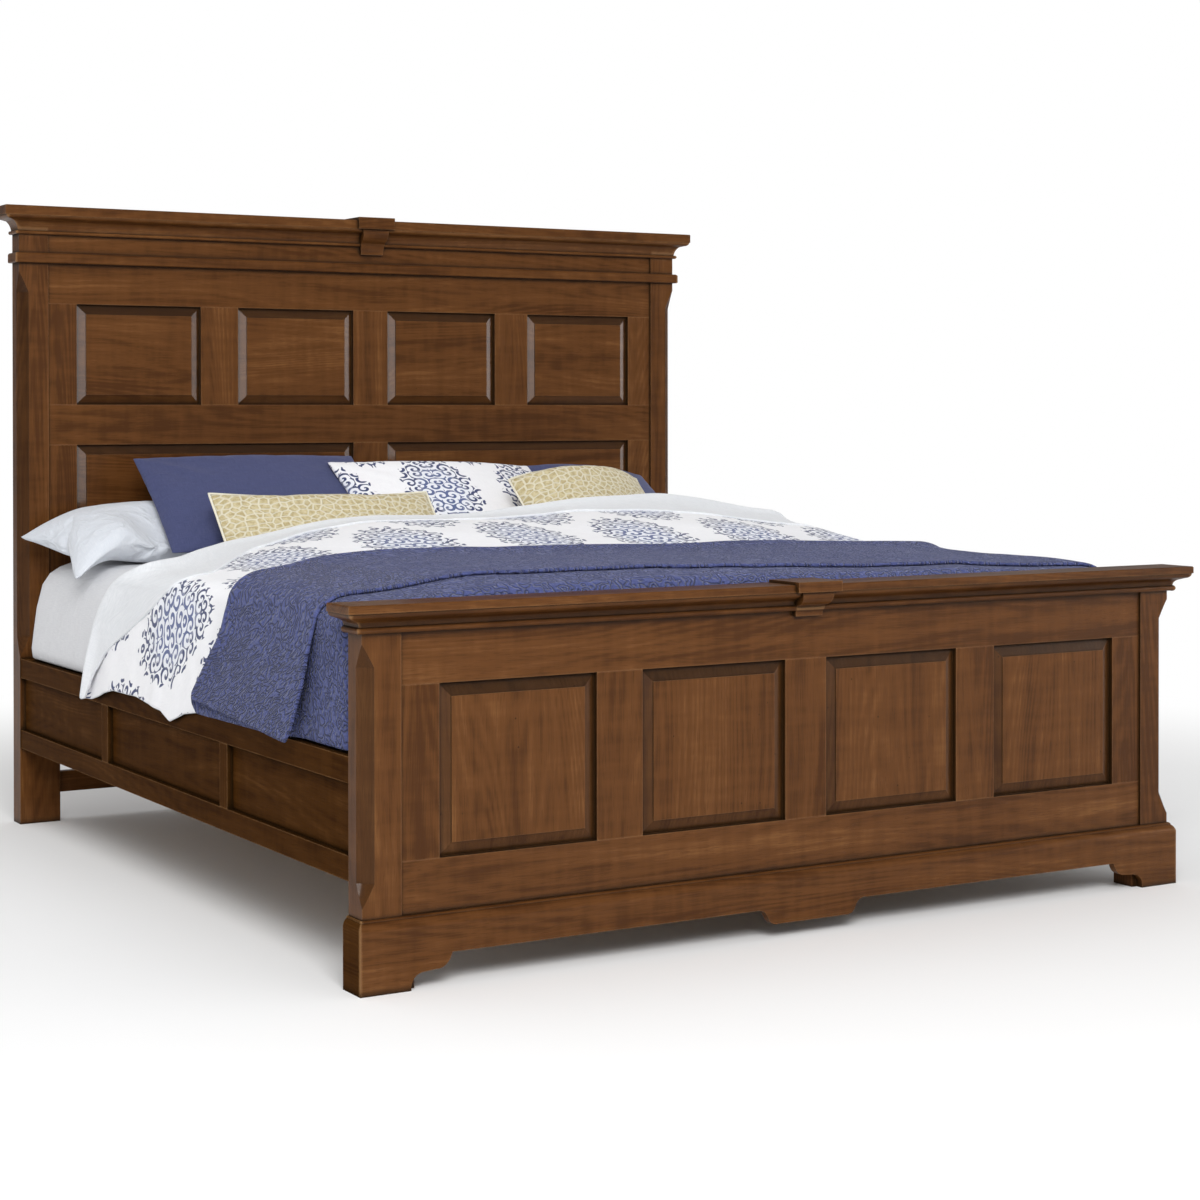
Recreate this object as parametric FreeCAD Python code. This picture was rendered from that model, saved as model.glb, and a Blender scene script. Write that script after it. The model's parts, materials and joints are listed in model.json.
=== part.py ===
"""Panel bed for a king-size mattress: a tall panelled headboard, a low panelled footboard,
hooked side rails, a slatted base on a centre beam, and the made-up bedding.

Millimetres. X runs across the bed, +Y towards the headboard, +Z up. The origin is on the
floor under the middle of the bed."""
import FreeCAD
import Part
import os
from FreeCAD import Vector

# ---- driving dimensions ----
MATTRESS_WIDTH = 1930.0
MATTRESS_LENGTH = 2030.0
BED_LENGTH = 2238.0            # keystone of the footboard to the back of the headboard
POST_SPAN = 2055.0             # outer face to outer face of the posts
POST_WIDTH = 108.5
CAP_OVERHANG = 45.0            # past the posts, at each end

HEAD_TOP = 1642.0              # top of the headboard's cap
HEAD_POST_DEPTH = 59.0
HEAD_CAP_FRONT = 33.0          # overhang past the front of the posts
HEAD_SEAM = 948.0              # half the width of the panelled frame between the posts
FOOT_TOP = 735.5
FOOT_POST_DEPTH = 60.0
FOOT_CAP_FRONT = 40.0
FOOT_SEAM = 945.0

FRAME_SETBACK = 5.0            # the panelled frames sit this far behind the post faces
GROOVE_DEPTH = 10.0
GROOVE_WIDTH = 6.0
GROOVE_SETBACK = 10.0          # frame face to the groove
BEVEL_WIDTH = 26.0             # the slope round each raised panel
FIELD_SETBACK = 1.5            # frame face to the raised field

RAIL_LOW = 203.0
RAIL_HIGH = 440.5
RAIL_OUTER = 1025.5            # half width over the side rails
RAIL_BOARD = 20.0
RAIL_STRIP = 12.0
RAIL_TOP_STRIP = 51.0
RAIL_BOTTOM_STRIP = 48.5
RAIL_DIVIDER = 42.0
RAIL_DIVIDER_AT = (-372.0, 390.0)

SLAT_TOP = 345.0
SLAT_THICKNESS = 20.0
SLAT_WIDTH = 90.0
SLAT_COUNT = 13
SLAT_END = 70.0                # from either board to the middle of its nearest slat
LEDGER_WIDTH = 30.0
LEDGER_HEIGHT = 40.0
BEAM_HALF = 22.0
BEAM_HEIGHT = 100.0
LEG_AT = (-380.0, 400.0)
LEG_HALF = 26.0

MATTRESS_TOP = 705.0
SOFT_GAP = 2.0                 # clearance between soft pieces that lie on each other

# ---- planes worked out from them ----
FOOT_FRONT = -BED_LENGTH / 2 + 9.0 + FOOT_CAP_FRONT   # front face of the foot posts
FOOT_BACK = FOOT_FRONT + FOOT_POST_DEPTH
HEAD_BACK = BED_LENGTH / 2
HEAD_FRONT = HEAD_BACK - HEAD_POST_DEPTH
OUTER = POST_SPAN / 2
INNER = OUTER - POST_WIDTH

parts = {}


# ---- outlines and simple solids ----
def box(x0, x1, y0, y1, z0, z1):
    return Part.makeBox(x1 - x0, y1 - y0, z1 - z0, Vector(x0, y0, z0))


def outline(place, start, *steps):
    """A closed wire. Each step is one point for a line, or a pair of points for an arc."""
    edges = []
    here = start
    for step in steps:
        if isinstance(step[0], tuple):
            through, end = step
            edges.append(Part.Arc(place(*here), place(*through), place(*end)).toShape())
        else:
            end = step
            edges.append(Part.LineSegment(place(*here), place(*end)).toShape())
        here = end
    if here != start:
        edges.append(Part.LineSegment(place(*here), place(*start)).toShape())
    return Part.Wire(edges)


def on_x(x):
    return lambda y, z: Vector(x, y, z)


def on_y(y):
    return lambda x, z: Vector(x, y, z)


def on_z(z):
    return lambda x, y: Vector(x, y, z)


def prism(wire, run):
    return Part.Face(wire).extrude(run)


def mirrored(shape):
    return shape.mirror(Vector(0, 0, 0), Vector(1, 0, 0))


def joined(first, *others):
    return first.fuse(list(others)).removeSplitter()


def group(shapes):
    return Part.makeCompound([solid for shape in shapes for solid in shape.Solids])


# ---- frame-and-panel work ----
def frame_board(x0, x1, z0, z1, face, depth, grooves=(), tongues=()):
    """A stile, rail or muntin: grooves hold the panels, tongues lock into a neighbour's groove."""
    board = box(x0, x1, face, face + depth, z0, z1)
    g0 = face + GROOVE_SETBACK
    g1 = g0 + GROOVE_WIDTH
    bands = {
        "left": (x0, x0 + GROOVE_DEPTH, g0, g1, z0, z1),
        "right": (x1 - GROOVE_DEPTH, x1, g0, g1, z0, z1),
        "bottom": (x0, x1, g0, g1, z0, z0 + GROOVE_DEPTH),
        "top": (x0, x1, g0, g1, z1 - GROOVE_DEPTH, z1),
    }
    for side in grooves:
        board = board.cut(box(*bands[side]))
    reach = GROOVE_DEPTH - 0.5
    # a tongue stops short of the board's own grooves, where the panel's corner sits
    a0, a1 = x0 + GROOVE_DEPTH * ("left" in grooves), x1 - GROOVE_DEPTH * ("right" in grooves)
    c0, c1 = z0 + GROOVE_DEPTH * ("bottom" in grooves), z1 - GROOVE_DEPTH * ("top" in grooves)
    tabs = {
        "left": (x0 - reach, x0, g0, g1, c0, c1),
        "right": (x1, x1 + reach, g0, g1, c0, c1),
        "bottom": (a0, a1, g0, g1, z0 - reach, z0),
        "top": (a0, a1, g0, g1, z1, z1 + reach),
    }
    for side in tongues:
        board = board.fuse(box(*tabs[side]))
    return board.removeSplitter()


def raised_panel(x0, x1, z0, z1, face):
    """The panel that floats in the grooves round the opening x0..x1, z0..z1."""
    reach = GROOVE_DEPTH - 1.5
    tongue = face + GROOVE_SETBACK
    back = tongue + GROOVE_WIDTH
    plate = box(x0 - reach, x1 + reach, tongue, back, z0 - reach, z1 + reach)
    shoulder = face + FIELD_SETBACK + 2.0

    def rectangle(inset, y):
        corners = ((x1 - inset, z0 + inset), (x1 - inset, z1 - inset), (x0 + inset, z1 - inset))
        return outline(on_y(y), (x0 + inset, z0 + inset), *corners)

    slope = Part.makeLoft([rectangle(2.0, tongue), rectangle(BEVEL_WIDTH, shoulder)], True, True)
    inset = BEVEL_WIDTH + 1.0
    field = box(x0 + inset, x1 - inset, face + FIELD_SETBACK, shoulder, z0 + inset, z1 - inset)
    return joined(plate, slope, field)


# ---- posts, caps and mouldings shared by both boards ----
def post(front, depth, top, seam, rebate_low, frame_depth, cove_low, cove_high, cove_run):
    """The left post, rebated for the panelled frame. Its front outer corner has a hollow chamfer
    that runs from cove_low to cove_high and fades out over cove_run at each end."""
    body = box(-OUTER, -INNER, front, front + depth, 0, top)
    frame_back = front + FRAME_SETBACK + frame_depth
    body = body.cut(box(-seam, -INNER, front, frame_back, rebate_low, top))
    outside = 13.7                 # the hollow's centre, off the corner both ways
    full = 42.0
    touch = outside * 2 ** 0.5     # the radius that just reaches the corner
    at = (-OUTER - outside, front - outside)
    up = Vector(0, 0, 1)
    straight = Part.makeCylinder(full, cove_high - cove_low, Vector(*at, cove_low), up)
    upper = Part.makeCone(full, touch, cove_run, Vector(*at, cove_high), up)
    lower = Part.makeCone(touch, full, cove_run, Vector(*at, cove_low - cove_run), up)
    return body.cut(joined(straight, upper, lower))


def wrapped_moulding(profile, front, back, shares, seam, reach, fill):
    """A moulding mitred round the front and both ends. profile(place) gives the section as
    (t, z), t outwards; shares scale t at the ends and in front; fill is the z range of the
    packing behind it, between the posts."""
    side_share, front_share = shares

    def front_place(t, z):
        return Vector(-OUTER - reach, front - t * front_share, z)

    def side_place(t, z):
        return Vector(-OUTER - t * side_share, front - reach, z)

    long_run = prism(profile(front_place), Vector(2 * (OUTER + reach), 0, 0))
    corner = (-OUTER, front)
    out = (-OUTER - reach * side_share, front - reach * front_share)
    low, high = long_run.BoundBox.ZMin - 1, long_run.BoundBox.ZMax + 1
    plan = outline(on_z(low), corner, out, (-out[0], out[1]), (-corner[0], corner[1]))
    run = long_run.common(prism(plan, Vector(0, 0, high - low)))
    run = joined(run, box(-seam, seam, front, front + FRAME_SETBACK, fill[0], fill[1]))
    side = prism(profile(side_place), Vector(0, back - front + reach, 0))
    plan = outline(on_z(low), corner, out, (out[0], back), (corner[0], back))
    side = side.common(prism(plan, Vector(0, 0, high - low)))
    return run, side, mirrored(side)


def cap(front, back, top, thickness, overhang):
    board = box(-OUTER - CAP_OVERHANG, OUTER + CAP_OVERHANG, front - overhang, back, top - thickness, top)
    edges = [e for e in board.Edges if all(abs(v.Z - top) < 0.1 for v in e.Vertexes)]
    edges = [e for e in edges if not all(abs(v.Y - back) < 0.1 for v in e.Vertexes)]
    return board.makeFillet(3.0, edges)


def keystone(cap_front, back, face, cap_top, cap_low, low, crest):
    """The tapered block at mid-width. A plate on the cap and a lip before it clasp the cap."""
    head_half = 56.0
    ahead = 9.0
    plate = box(-head_half, head_half, cap_front - ahead, back, cap_top, cap_top + crest)
    lip = box(-head_half, head_half, cap_front - ahead, cap_front, cap_low, cap_top)
    drop = cap_low - low
    nose = cap_front - 2.0
    foot = face - 12.0
    profile = outline(on_x(-head_half), (face, low), (foot, low),
                      ((foot - 3, low + 0.3 * drop), (foot - 8, low + 0.45 * drop)),
                      ((nose + 6, low + 0.62 * drop), (nose, cap_low)), (face, cap_low))
    corbel = prism(profile, Vector(2 * head_half, 0, 0))
    top_half, low_half = 40.5, 34.0
    taper = outline(on_y(cap_front - 20), (-top_half, cap_low), (-low_half, low),
                    (low_half, low), (top_half, cap_low))
    corbel = corbel.common(prism(taper, Vector(0, face - cap_front + 20, 0)))
    return joined(plate, lip, corbel)


# ---- headboard ----
HEAD_CROWN_SHARES = 1.1, 0.84  # how far the crown stands out at the ends and in front, as drawn
HEAD_FACE = HEAD_FRONT + FRAME_SETBACK
HEAD_FRAME_DEPTH = 24.0
HEAD_CAP_LOW = HEAD_TOP - 25.0
BEAD_LOW, BEAD_HIGH = 1492.0, 1519.0
CROWN_LOW = 1568.0
HEAD_RAILS = {"bottom": (200.0, 480.0), "middle": (1007.0, 1114.5), "top": (1385.0, 1519.0)}
HEAD_OPENING = 869.0           # half width to the stiles
HEAD_UPPER = (-869.0, -516.0, -406.0, -54.0, 54.0, 406.0, 516.0, 869.0)


def head_crown(place):
    return outline(place, (0, CROWN_LOW), (3, CROWN_LOW),
                   ((9.5, 1572.5), (3, 1577)),
                   ((6, 1590), (15, 1603)), (27, 1606.5), ((34, 1609), (38, HEAD_CAP_LOW)),
                   (0, HEAD_CAP_LOW))


def bead_strip(place):
    return outline(place, (0, BEAD_LOW), (8, BEAD_LOW), ((11, BEAD_LOW + 1), (12, BEAD_LOW + 4)),
                   (12, BEAD_HIGH - 5), ((9.5, BEAD_HIGH - 1.5), (5, BEAD_HIGH)), (0, BEAD_HIGH))


def make_headboard():
    left = post(HEAD_FRONT, HEAD_POST_DEPTH, HEAD_CAP_LOW, HEAD_SEAM, HEAD_RAILS["bottom"][0],
                HEAD_FRAME_DEPTH, 500.0, 1414.0, 55.0)
    run, left_return, right_return = wrapped_moulding(
        head_crown, HEAD_FRONT, HEAD_BACK, HEAD_CROWN_SHARES, HEAD_SEAM, 60.0, (CROWN_LOW, HEAD_CAP_LOW))
    stone = keystone(HEAD_FRONT - HEAD_CAP_FRONT, HEAD_BACK, HEAD_FACE, HEAD_TOP, HEAD_CAP_LOW,
                     1545.0, 8.0)
    parts["headboard_cap"] = cap(HEAD_FRONT, HEAD_BACK, HEAD_TOP, HEAD_TOP - HEAD_CAP_LOW,
                                 HEAD_CAP_FRONT)
    parts["headboard_crown_moulding"] = group([run.cut(stone), left_return, right_return])
    parts["headboard_keystone"] = stone
    bead = wrapped_moulding(bead_strip, HEAD_FRONT, HEAD_BACK, (1.0, 1.0), HEAD_SEAM, 60.0,
                            (BEAD_LOW, BEAD_HIGH))
    parts["headboard_bead"] = group(bead)
    parts["headboard_left_post"] = left
    parts["headboard_right_post"] = mirrored(left)

    def board(name, x0, x1, z0, z1, grooves, tongues):
        parts[name] = frame_board(x0, x1, z0, z1, HEAD_FACE, HEAD_FRAME_DEPTH, grooves, tongues)

    wide = HEAD_OPENING
    board("headboard_frieze", -HEAD_SEAM, HEAD_SEAM, HEAD_RAILS["top"][1], HEAD_CAP_LOW, (), ())
    board("headboard_top_rail", -HEAD_SEAM, HEAD_SEAM, *HEAD_RAILS["top"], ("bottom",), ())
    board("headboard_middle_rail", -HEAD_SEAM, HEAD_SEAM, *HEAD_RAILS["middle"], ("top", "bottom"), ())
    board("headboard_bottom_rail", -HEAD_SEAM, HEAD_SEAM, *HEAD_RAILS["bottom"], ("top",), ())
    stiles = []
    for low, high in ((HEAD_RAILS["bottom"][1], HEAD_RAILS["middle"][0]),
                      (HEAD_RAILS["middle"][1], HEAD_RAILS["top"][0])):
        stiles.append(frame_board(-HEAD_SEAM, -wide, low, high, HEAD_FACE, HEAD_FRAME_DEPTH,
                                  ("right",), ("top", "bottom")))
    parts["headboard_left_stile"] = group(stiles)
    parts["headboard_right_stile"] = group([mirrored(stile) for stile in stiles])
    low, high = HEAD_RAILS["middle"][1], HEAD_RAILS["top"][0]
    muntins = []
    for i in (1, 3, 5):
        muntins.append(frame_board(HEAD_UPPER[i], HEAD_UPPER[i + 1], low, high, HEAD_FACE,
                                   HEAD_FRAME_DEPTH, ("left", "right"), ("top", "bottom")))
    parts["headboard_upper_muntins"] = group(muntins)
    for i in range(4):
        x0, x1 = HEAD_UPPER[2 * i], HEAD_UPPER[2 * i + 1]
        parts[f"headboard_upper_panel_{i + 1}"] = raised_panel(x0, x1, low, high, HEAD_FACE)
    low, high = HEAD_RAILS["bottom"][1], HEAD_RAILS["middle"][0]
    half = HEAD_UPPER[4]
    board("headboard_lower_muntin", -half, half, low, high, ("left", "right"), ("top", "bottom"))
    parts["headboard_lower_panel_left"] = raised_panel(-wide, -half, low, high, HEAD_FACE)
    parts["headboard_lower_panel_right"] = raised_panel(half, wide, low, high, HEAD_FACE)
    parts["headboard_stretcher"] = box(-INNER, INNER, HEAD_FRONT + 18, HEAD_FRONT + 40, 75.0, 130.0)


# ---- footboard ----
FOOT_CROWN_SHARES = 1.05, 0.93
FOOT_FACE = FOOT_FRONT + FRAME_SETBACK
FOOT_FRAME_DEPTH = 22.0
FOOT_CAP_LOW = FOOT_TOP - 16.0
FOOT_CROWN_LOW = 680.0
FOOT_RAILS = {"bottom": (100.0, 241.5), "top": (577.0, FOOT_CAP_LOW)}
FOOT_OPENING = 862.0
FOOT_UPPER = (-862.0, -511.0, -404.0, -52.5, 52.5, 404.0, 511.0, 862.0)
PLINTH_TOP = 140.0
PLINTH_THICK = 12.0, 18.0      # at the ends, in front
APRON_LOW = 64.0
PENDANT_LOW = 32.0


def foot_crown(place):
    return outline(place, (0, FOOT_CROWN_LOW), (3, FOOT_CROWN_LOW),
                   ((14, 686), (9, 691.5)), ((11.5, 699), (19, 704.5)), (31, 708.5),
                   ((37.5, 712), (40, FOOT_CAP_LOW)), (0, FOOT_CAP_LOW))


def plinth_section(place):
    """Section of the base board; t is a share of its thickness."""
    return outline(place, (0, 0), (1, 0), (1, 118.0), ((0.86, 128.0), (0.5, 134.5)),
                   (0.4, 135.5), (0.4, 138.0), (0.2, PLINTH_TOP), (0, PLINTH_TOP))


def plinth_cutout(y):
    """The space under the base board: ogee ends beside the feet and a pendant in the middle."""
    half = ((933.5, -5), (933.5, 2), ((929, 21), (909, 33)), (880, 35.5), ((862, 40), (850.5, 53)),
            (845.5, APRON_LOW), (142, APRON_LOW), ((124, 61), (113, 47)), ((103, 35), (88, PENDANT_LOW)))
    back = []                      # the same steps mirrored, from the pendant out to the left foot
    points = [p[-1] if isinstance(p[0], tuple) else p for p in half]
    for i in range(len(half) - 1, 0, -1):
        end = (-points[i - 1][0], points[i - 1][1])
        if isinstance(half[i][0], tuple):
            through = (-half[i][0][0], half[i][0][1])
            back.append((through, end))
        else:
            back.append(end)
    across = (-points[-1][0], points[-1][1])
    return outline(on_y(y), half[0], *half[1:], across, *back)


def make_footboard():
    left = post(FOOT_FRONT, FOOT_POST_DEPTH, FOOT_CAP_LOW, FOOT_SEAM, FOOT_RAILS["bottom"][0],
                FOOT_FRAME_DEPTH, 206.0, 614.0, 45.0)
    run, left_return, right_return = wrapped_moulding(
        foot_crown, FOOT_FRONT, FOOT_BACK, FOOT_CROWN_SHARES, FOOT_SEAM, 60.0,
        (FOOT_CROWN_LOW, FOOT_CAP_LOW))
    stone = keystone(FOOT_FRONT - FOOT_CAP_FRONT, FOOT_BACK, FOOT_FACE, FOOT_TOP, FOOT_CAP_LOW,
                     667.0, 6.0)
    parts["footboard_cap"] = cap(FOOT_FRONT, FOOT_BACK, FOOT_TOP, FOOT_TOP - FOOT_CAP_LOW,
                                 FOOT_CAP_FRONT)
    parts["footboard_crown_moulding"] = group([run.cut(stone), left_return, right_return])
    parts["footboard_keystone"] = stone
    parts["footboard_left_post"] = left
    parts["footboard_right_post"] = mirrored(left)
    run, left_return, right_return = wrapped_moulding(
        plinth_section, FOOT_FRONT, FOOT_BACK, PLINTH_THICK, FOOT_SEAM, 40.0,
        (FOOT_RAILS["bottom"][0], PLINTH_TOP))
    gap = prism(plinth_cutout(FOOT_FRONT - 60), Vector(0, 120, 0))
    parts["footboard_plinth"] = run.cut(gap)
    parts["footboard_plinth_returns"] = group([left_return, right_return])

    def board(name, x0, x1, z0, z1, grooves, tongues):
        parts[name] = frame_board(x0, x1, z0, z1, FOOT_FACE, FOOT_FRAME_DEPTH, grooves, tongues)

    board("footboard_top_rail", -FOOT_SEAM, FOOT_SEAM, *FOOT_RAILS["top"], ("bottom",), ())
    board("footboard_bottom_rail", -FOOT_SEAM, FOOT_SEAM, *FOOT_RAILS["bottom"], ("top",), ())
    low, high = FOOT_RAILS["bottom"][1], FOOT_RAILS["top"][0]
    board("footboard_left_stile", -FOOT_SEAM, -FOOT_OPENING, low, high, ("right",), ("top", "bottom"))
    board("footboard_right_stile", FOOT_OPENING, FOOT_SEAM, low, high, ("left",), ("top", "bottom"))
    muntins = []
    for i in (1, 3, 5):
        muntins.append(frame_board(FOOT_UPPER[i], FOOT_UPPER[i + 1], low, high, FOOT_FACE,
                                   FOOT_FRAME_DEPTH, ("left", "right"), ("top", "bottom")))
    parts["footboard_muntins"] = group(muntins)
    for i in range(4):
        x0, x1 = FOOT_UPPER[2 * i], FOOT_UPPER[2 * i + 1]
        parts[f"footboard_panel_{i + 1}"] = raised_panel(x0, x1, low, high, FOOT_FACE)


# ---- side rails and their hooks ----
PLATE_THICK = 3.0
PLATE_HALF_HEIGHT = 75.0
HOOK_HEIGHTS = (-38.0, 38.0)
HOOK_DROP = 10.0


def hook_pair(y, towards):
    """The rail's hook plate and the post's slotted plate at one corner of the left side, then
    the recess in the rail and the pocket in the post. towards is +1 where the post lies on +Y."""
    x = -RAIL_OUTER + RAIL_STRIP + RAIL_BOARD / 2
    mid = (RAIL_LOW + RAIL_HIGH) / 2

    def slab(half_x, near, far, z0, z1):
        a, b = sorted((y + towards * near, y + towards * far))
        return box(x - half_x, x + half_x, a, b, z0, z1)

    low, high = mid - PLATE_HALF_HEIGHT, mid + PLATE_HALF_HEIGHT
    recess = slab(8.0, -PLATE_THICK, 0, low, high)
    post_plate = slab(8.0, 0, PLATE_THICK, low, high)
    pocket = post_plate
    hooks = []
    for height in HOOK_HEIGHTS:
        z = mid + height
        hooks.append(slab(2.0, 0, 9.0, z - 12, z + 12))
        hooks.append(slab(2.0, 5.0, 9.0, z - 12 - HOOK_DROP, z - 12))
        post_plate = post_plate.cut(slab(2.5, 0, PLATE_THICK, z - 14 - HOOK_DROP, z + 14))
        pocket = pocket.fuse(slab(4.0, 0, 14.0, z - 16 - HOOK_DROP, z + 16))
    return joined(recess, *hooks), post_plate, recess, pocket


def make_side_rails():
    outer = -RAIL_OUTER
    inner = outer + RAIL_STRIP
    y0, y1 = FOOT_BACK, HEAD_FRONT
    board = box(inner, inner + RAIL_BOARD, y0, y1, RAIL_LOW, RAIL_HIGH)
    rail_plates = []
    post_plates = []
    for y, towards, name in ((y0, -1, "footboard"), (y1, 1, "headboard")):
        rail_plate, post_plate, recess, pocket = hook_pair(y, towards)
        rail_plates += [rail_plate, mirrored(rail_plate)]
        post_plates += [post_plate, mirrored(post_plate)]
        board = board.cut(recess)
        parts[f"{name}_left_post"] = parts[f"{name}_left_post"].cut(pocket)
        parts[f"{name}_right_post"] = mirrored(parts[f"{name}_left_post"])
    parts["left_rail_board"] = board
    parts["right_rail_board"] = mirrored(board)
    top_low = RAIL_HIGH - RAIL_TOP_STRIP
    bottom_high = RAIL_LOW + RAIL_BOTTOM_STRIP
    top_strip = box(outer, inner, y0, y1, top_low, RAIL_HIGH)
    bottom_strip = box(outer, inner, y0, y1, RAIL_LOW, bottom_high)
    dividers = []
    for y in RAIL_DIVIDER_AT:
        near, far = y - RAIL_DIVIDER / 2, y + RAIL_DIVIDER / 2
        dividers.append(box(outer, inner, near, far, bottom_high, top_low))
    ledger_x = inner + RAIL_BOARD
    ledger_high = SLAT_TOP - SLAT_THICKNESS
    ledger = box(ledger_x, ledger_x + LEDGER_WIDTH, y0 + 10, y1 - 10,
                 ledger_high - LEDGER_HEIGHT, ledger_high)
    parts["rail_top_strips"] = group([top_strip, mirrored(top_strip)])
    parts["rail_bottom_strips"] = group([bottom_strip, mirrored(bottom_strip)])
    parts["rail_dividers"] = group(dividers + [mirrored(d) for d in dividers])
    parts["rail_ledgers"] = group([ledger, mirrored(ledger)])
    parts["rail_hook_plates"] = group(rail_plates)
    parts["post_hook_plates"] = group(post_plates)


# ---- slats, centre beam and legs ----
BEAM_TOP = SLAT_TOP - SLAT_THICKNESS
BEAM_LOW = BEAM_TOP - BEAM_HEIGHT
HANGER_THICK = 3.0
HANGER_SHELF = 52.0            # how far the shoe reaches under the beam
HANGER_EAR = 50.0              # half width of its back plate
STUD_RADIUS = 5.0
STUD_CLEARANCE = 0.3
LEG_LOW = 26.0


def wood_screw(x, y, head_z):
    """A countersunk screw, pointing down."""
    shank = Part.makeCylinder(2.2, 38.0, Vector(x, y, head_z - 38.0), Vector(0, 0, 1))
    head = Part.makeCone(2.2, 4.5, 3.5, Vector(x, y, head_z - 3.5), Vector(0, 0, 1))
    return joined(shank, head)


def make_hanger(face, towards):
    """A folded steel shoe that carries one end of the centre beam."""
    def slab(x0, x1, near, far, z0, z1):
        a, b = sorted((face + towards * near, face + towards * far))
        return box(x0, x1, a, b, z0, z1)

    inside = BEAM_HALF + 0.2
    wide = inside + HANGER_THICK
    shoe_low = BEAM_LOW - HANGER_THICK
    back = slab(-HANGER_EAR, HANGER_EAR, 0, HANGER_THICK, shoe_low, BEAM_TOP - 10)
    shelf = slab(-wide, wide, 0, HANGER_SHELF, shoe_low, BEAM_LOW)
    left = slab(-wide, -inside, 0, HANGER_SHELF, shoe_low, BEAM_TOP - 25)
    right = slab(inside, wide, 0, HANGER_SHELF, shoe_low, BEAM_TOP - 25)
    return joined(back, shelf, left, right)


def make_leveller(y):
    """A levelling foot: a domed pad on a threaded stud, wound fully in."""
    pad = Part.makeCylinder(19.0, 6.0, Vector(0, y, 0), Vector(0, 0, 1))
    dome = Part.makeCone(19.0, 9.0, 8.0, Vector(0, y, 6.0), Vector(0, 0, 1))
    nut = Part.makeCylinder(9.0, LEG_LOW - 0.5 - 14.0, Vector(0, y, 14.0), Vector(0, 0, 1))
    stud = Part.makeCylinder(STUD_RADIUS, 34.0, Vector(0, y, 20.0), Vector(0, 0, 1))
    return joined(pad, dome, nut, stud)


def make_base():
    half = RAIL_OUTER - RAIL_STRIP - RAIL_BOARD - 1.5
    first, last = FOOT_BACK + SLAT_END, HEAD_FRONT - SLAT_END
    pitch = (last - first) / (SLAT_COUNT - 1)
    slats = []
    screws = []
    screw_x = half + 1.5 - LEDGER_WIDTH / 2
    for i in range(SLAT_COUNT):
        y = first + i * pitch
        slats.append(box(-half, half, y - SLAT_WIDTH / 2, y + SLAT_WIDTH / 2, BEAM_TOP, SLAT_TOP))
        screws += [wood_screw(-screw_x, y, SLAT_TOP), wood_screw(screw_x, y, SLAT_TOP)]
    holes = Part.makeCompound(screws)
    parts["slats"] = group([slat.cut(holes) for slat in slats])
    parts["slat_screws"] = group(screws)
    parts["rail_ledgers"] = group([ledger.cut(holes) for ledger in parts["rail_ledgers"].Solids])
    foot_face = FOOT_FACE + FOOT_FRAME_DEPTH
    beam_ends = foot_face + HANGER_THICK + 1.0, HEAD_FACE - HANGER_THICK - 1.0
    parts["centre_beam"] = box(-BEAM_HALF, BEAM_HALF, *beam_ends, BEAM_LOW, BEAM_TOP)
    parts["beam_hangers"] = group([make_hanger(foot_face, 1), make_hanger(HEAD_FACE, -1)])
    legs = []
    bore = STUD_RADIUS + STUD_CLEARANCE
    for y in LEG_AT:
        leg = box(-LEG_HALF, LEG_HALF, y - LEG_HALF, y + LEG_HALF, LEG_LOW, BEAM_LOW)
        legs.append(leg.cut(Part.makeCylinder(bore, 36.0, Vector(0, y, LEG_LOW), Vector(0, 0, 1))))
    parts["centre_legs"] = group(legs)
    parts["front_leveller"] = make_leveller(LEG_AT[0])
    parts["rear_leveller"] = make_leveller(LEG_AT[1])


# ---- mattress and bedding ----
SHOULDER = 1006.0              # half width of the covers where they turn down the sides
MATTRESS_PADDING = 20.0        # round the empty core of the mattress


def rounded_slab(half_x, y0, y1, corner, z):
    """A rounded rectangle at height z."""
    x, c = half_x, corner
    s = corner * (1 - 2 ** -0.5)
    return outline(on_z(z), (-x + c, y0), (x - c, y0), ((x - s, y0 + s), (x, y0 + c)), (x, y1 - c),
                   ((x - s, y1 - s), (x - c, y1)), (-x + c, y1), ((-x + s, y1 - s), (-x, y1 - c)),
                   (-x, y0 + c), ((-x + s, y0 + s), (-x + c, y0)))


def make_mattress():
    """A deep mattress in its fitted sheet: the sides bulge a little over the rails. The springs
    are left out, so it is a padded shell round an empty core."""
    y0 = (FOOT_BACK + HEAD_FRONT - MATTRESS_LENGTH) / 2
    y1 = y0 + MATTRESS_LENGTH
    half = MATTRESS_WIDTH / 2
    rest = SLAT_TOP + 0.3
    levels = ((rest, half - 14, 12, 50), (rest + 14, half, 0, 60), (RAIL_HIGH + 6, half, 0, 60),
              (RAIL_HIGH + 24, half + 22, 0, 70), (RAIL_HIGH + 130, half + 26, 0, 80),
              (MATTRESS_TOP - 55, half + 12, 0, 80), (MATTRESS_TOP - 22, half - 4, 10, 80),
              (MATTRESS_TOP - 5, half - 26, 32, 80), (MATTRESS_TOP, half - 56, 62, 70))
    wires = [rounded_slab(x, y0 + inset, y1 - inset, corner, z) for z, x, inset, corner in levels]
    cover = Part.makeLoft(wires, True, True)
    core_half = half - MATTRESS_PADDING
    core_levels = ((rest + MATTRESS_PADDING, 0), (MATTRESS_TOP - 60, 0), (MATTRESS_TOP - 24, 40))
    core = Part.makeLoft([rounded_slab(core_half - inset, y0 + MATTRESS_PADDING + inset,
                                       y1 - MATTRESS_PADDING - inset, 50, z)
                          for z, inset in core_levels], True, True)
    parts["mattress"] = cover.cut(core)


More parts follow.
